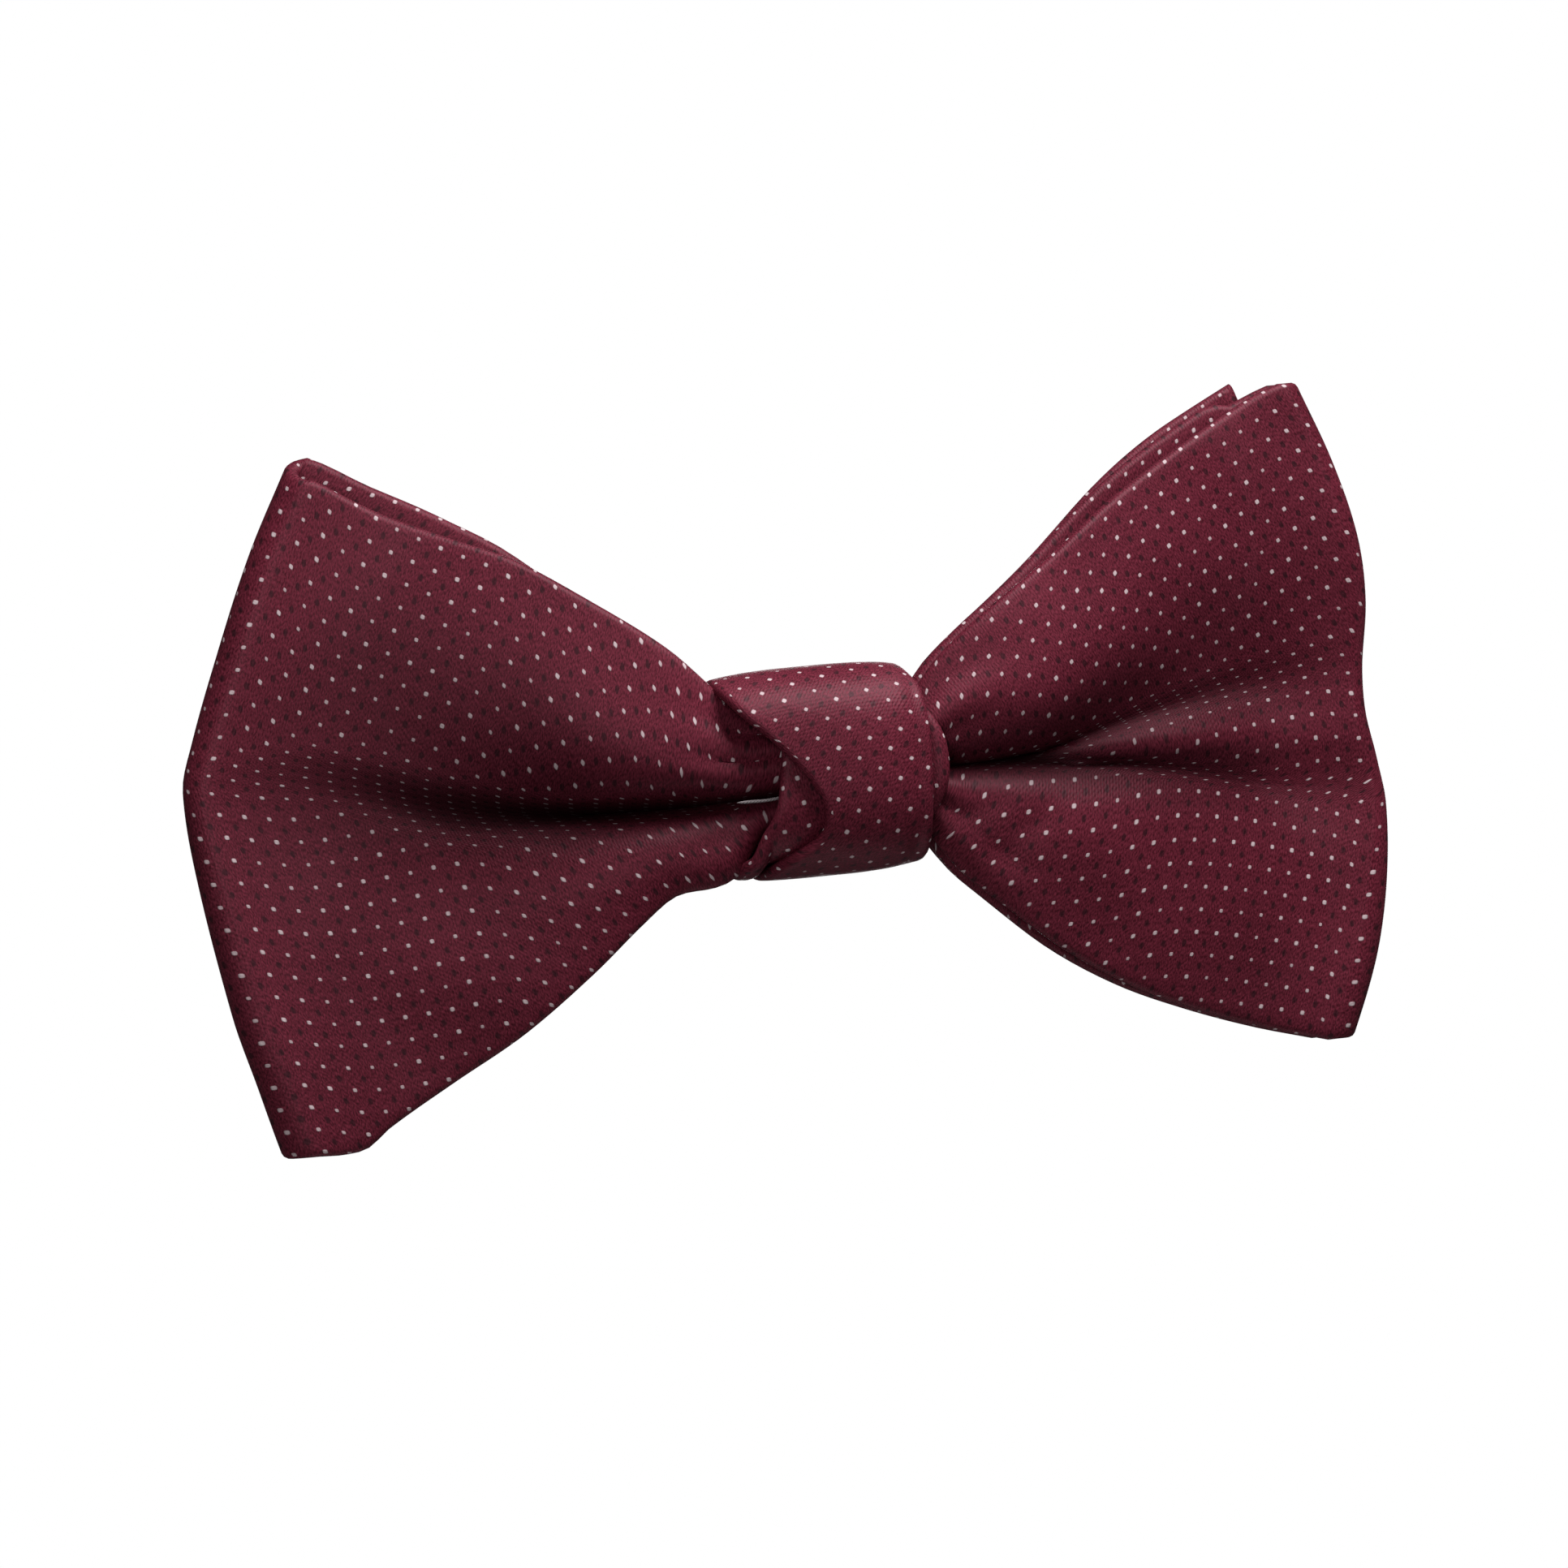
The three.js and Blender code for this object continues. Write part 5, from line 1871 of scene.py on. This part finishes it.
@dataclass(frozen=True)
class SoftBox:
    """A rectangular light that looks at a point."""

    name: str
    place: Point
    target: Point
    size: tuple[float, float]
    power: float
    colour: Colour = (1.0, 1.0, 1.0)

    def build(self) -> bpy.types.Object:
        """Adds the light.

        Returns:
            The light.
        """
        lamp = bpy.data.lights.new(self.name, "AREA")
        lamp.shape = "RECTANGLE"
        lamp.size, lamp.size_y = self.size
        lamp.energy = self.power
        lamp.color = self.colour
        light = linked(self.name, lamp)
        light.matrix_world = aimed(Vector(self.place), Vector(self.target), 0.0)
        return light


def aimed(place: Vector, target: Vector, roll: float) -> Matrix:
    """The placing of a camera or a light that looks from one point at another.

    Args:
        place: where it stands.
        target: what it looks at.
        roll: its turn about its own axis, in degrees.

    Returns:
        The matrix.
    """
    turn = (target - place).to_track_quat("-Z", "Y").to_matrix().to_4x4()
    return Matrix.Translation(place) @ turn @ Matrix.Rotation(math.radians(roll), 4, "Z")


@dataclass(frozen=True)
class Studio:
    """Camera, soft lights, white surroundings and a small pale floor well below the tie."""

    camera_place: Point = (-0.09966, -0.44987, -0.00065)
    camera_target: Point = (-0.0061, -0.0097, -0.00065)
    camera_roll: float = -5.5
    focal_length: float = 107.78
    sensor: float = 36.0
    surroundings: float = 0.06
    floor_drop: float = -0.35
    floor_radius: float = 0.2
    lights: tuple[SoftBox, ...] = (
        SoftBox("key_light", (0.17, -0.22, 0.52), (0.0, 0.0, 0.0), (0.35, 0.25), 5.0),
        SoftBox("front_light", (-0.25, -0.6, 0.1), (0.0, 0.0, 0.0), (0.3, 0.3), 1.1),
        SoftBox("back_light", (0.2, 0.5, 0.02), (0.0, 0.0, 0.0), (0.3, 0.3), 1.6),
    )

    def build_camera(self) -> bpy.types.Object:
        """Adds the camera and makes it the scene's.

        Returns:
            The camera.
        """
        data = bpy.data.cameras.new("camera")
        data.lens = self.focal_length
        data.sensor_width = self.sensor
        data.clip_start = 0.01
        camera = linked("camera", data)
        camera.matrix_world = aimed(Vector(self.camera_place), Vector(self.camera_target), self.camera_roll)
        bpy.context.scene.camera = camera
        return camera

    def build_world(self) -> None:
        """White for the camera, and an even grey for the light that falls on the tie."""
        world = bpy.data.worlds.new("surroundings")
        world.use_nodes = True
        bpy.context.scene.world = world
        graph = Graph(world.node_tree)
        background = world.node_tree.nodes["Background"]
        background.inputs["Color"].default_value = (1.0, 1.0, 1.0, 1.0)
        seen = graph.add("LightPath").outputs["Is Camera Ray"]
        strength = graph.math("MULTIPLY_ADD", seen, 1.0 - self.surroundings, self.surroundings)
        graph.feed(background.inputs["Strength"], strength)

    def build_floor(self) -> bpy.types.Object:
        """Adds a round pale floor whose rim fades out.

        Returns:
            The floor.
        """
        count = 64
        angle = np.linspace(0, 2 * math.pi, count, endpoint=False)
        radius = self.floor_radius
        points = np.stack([radius * np.cos(angle), radius * np.sin(angle), np.full(count, self.floor_drop)], axis=-1)
        mesh = bpy.data.meshes.new("floor")
        mesh.from_pydata(points.tolist(), [], [list(range(count))])
        material, graph, shader = new_material("pale_floor")
        shader.inputs["Base Color"].default_value = (0.86, 0.86, 0.86, 1.0)
        shader.inputs["Roughness"].default_value = 0.8
        apart = graph.add("SeparateXYZ", Vector=graph.add("TexCoord").outputs["Object"])
        squares = [graph.math("POWER", apart.outputs[k], 2.0) for k in range(2)]
        away = graph.math("SQRT", graph.math("ADD", squares[0], squares[1]))
        graph.feed(shader.inputs["Alpha"], graph.fade(away, 0.5 * radius, radius))
        mesh.materials.append(material)
        floor = linked("floor", mesh)
        return floor

    def build(self) -> list[bpy.types.Object]:
        """Adds the whole studio.

        Returns:
            The camera, the floor and the lights.
        """
        bpy.context.scene.view_settings.view_transform = "Standard"
        self.build_world()
        return [self.build_camera(), self.build_floor(), *(light.build() for light in self.lights)]


def main() -> None:
    """Builds the tie and its studio in order."""
    logging.basicConfig(level=logging.INFO, format="%(name)s: %(message)s")
    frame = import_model()
    finishes = Finishes()
    builders = (
        Studio(),
        FrontBow(finishes),
        RearBow(finishes),
        Knot(finishes),
        Sewing(finishes),
        Clip(finishes, frame["nodes"]),
    )
    for builder in builders:
        for piece in builder.build():
            faces = len(piece.data.polygons) if piece.type == "MESH" else 0
            log.info("%s: %s, %d faces", type(builder).__name__, piece.name, faces)


if __name__ == "__main__":
    main()
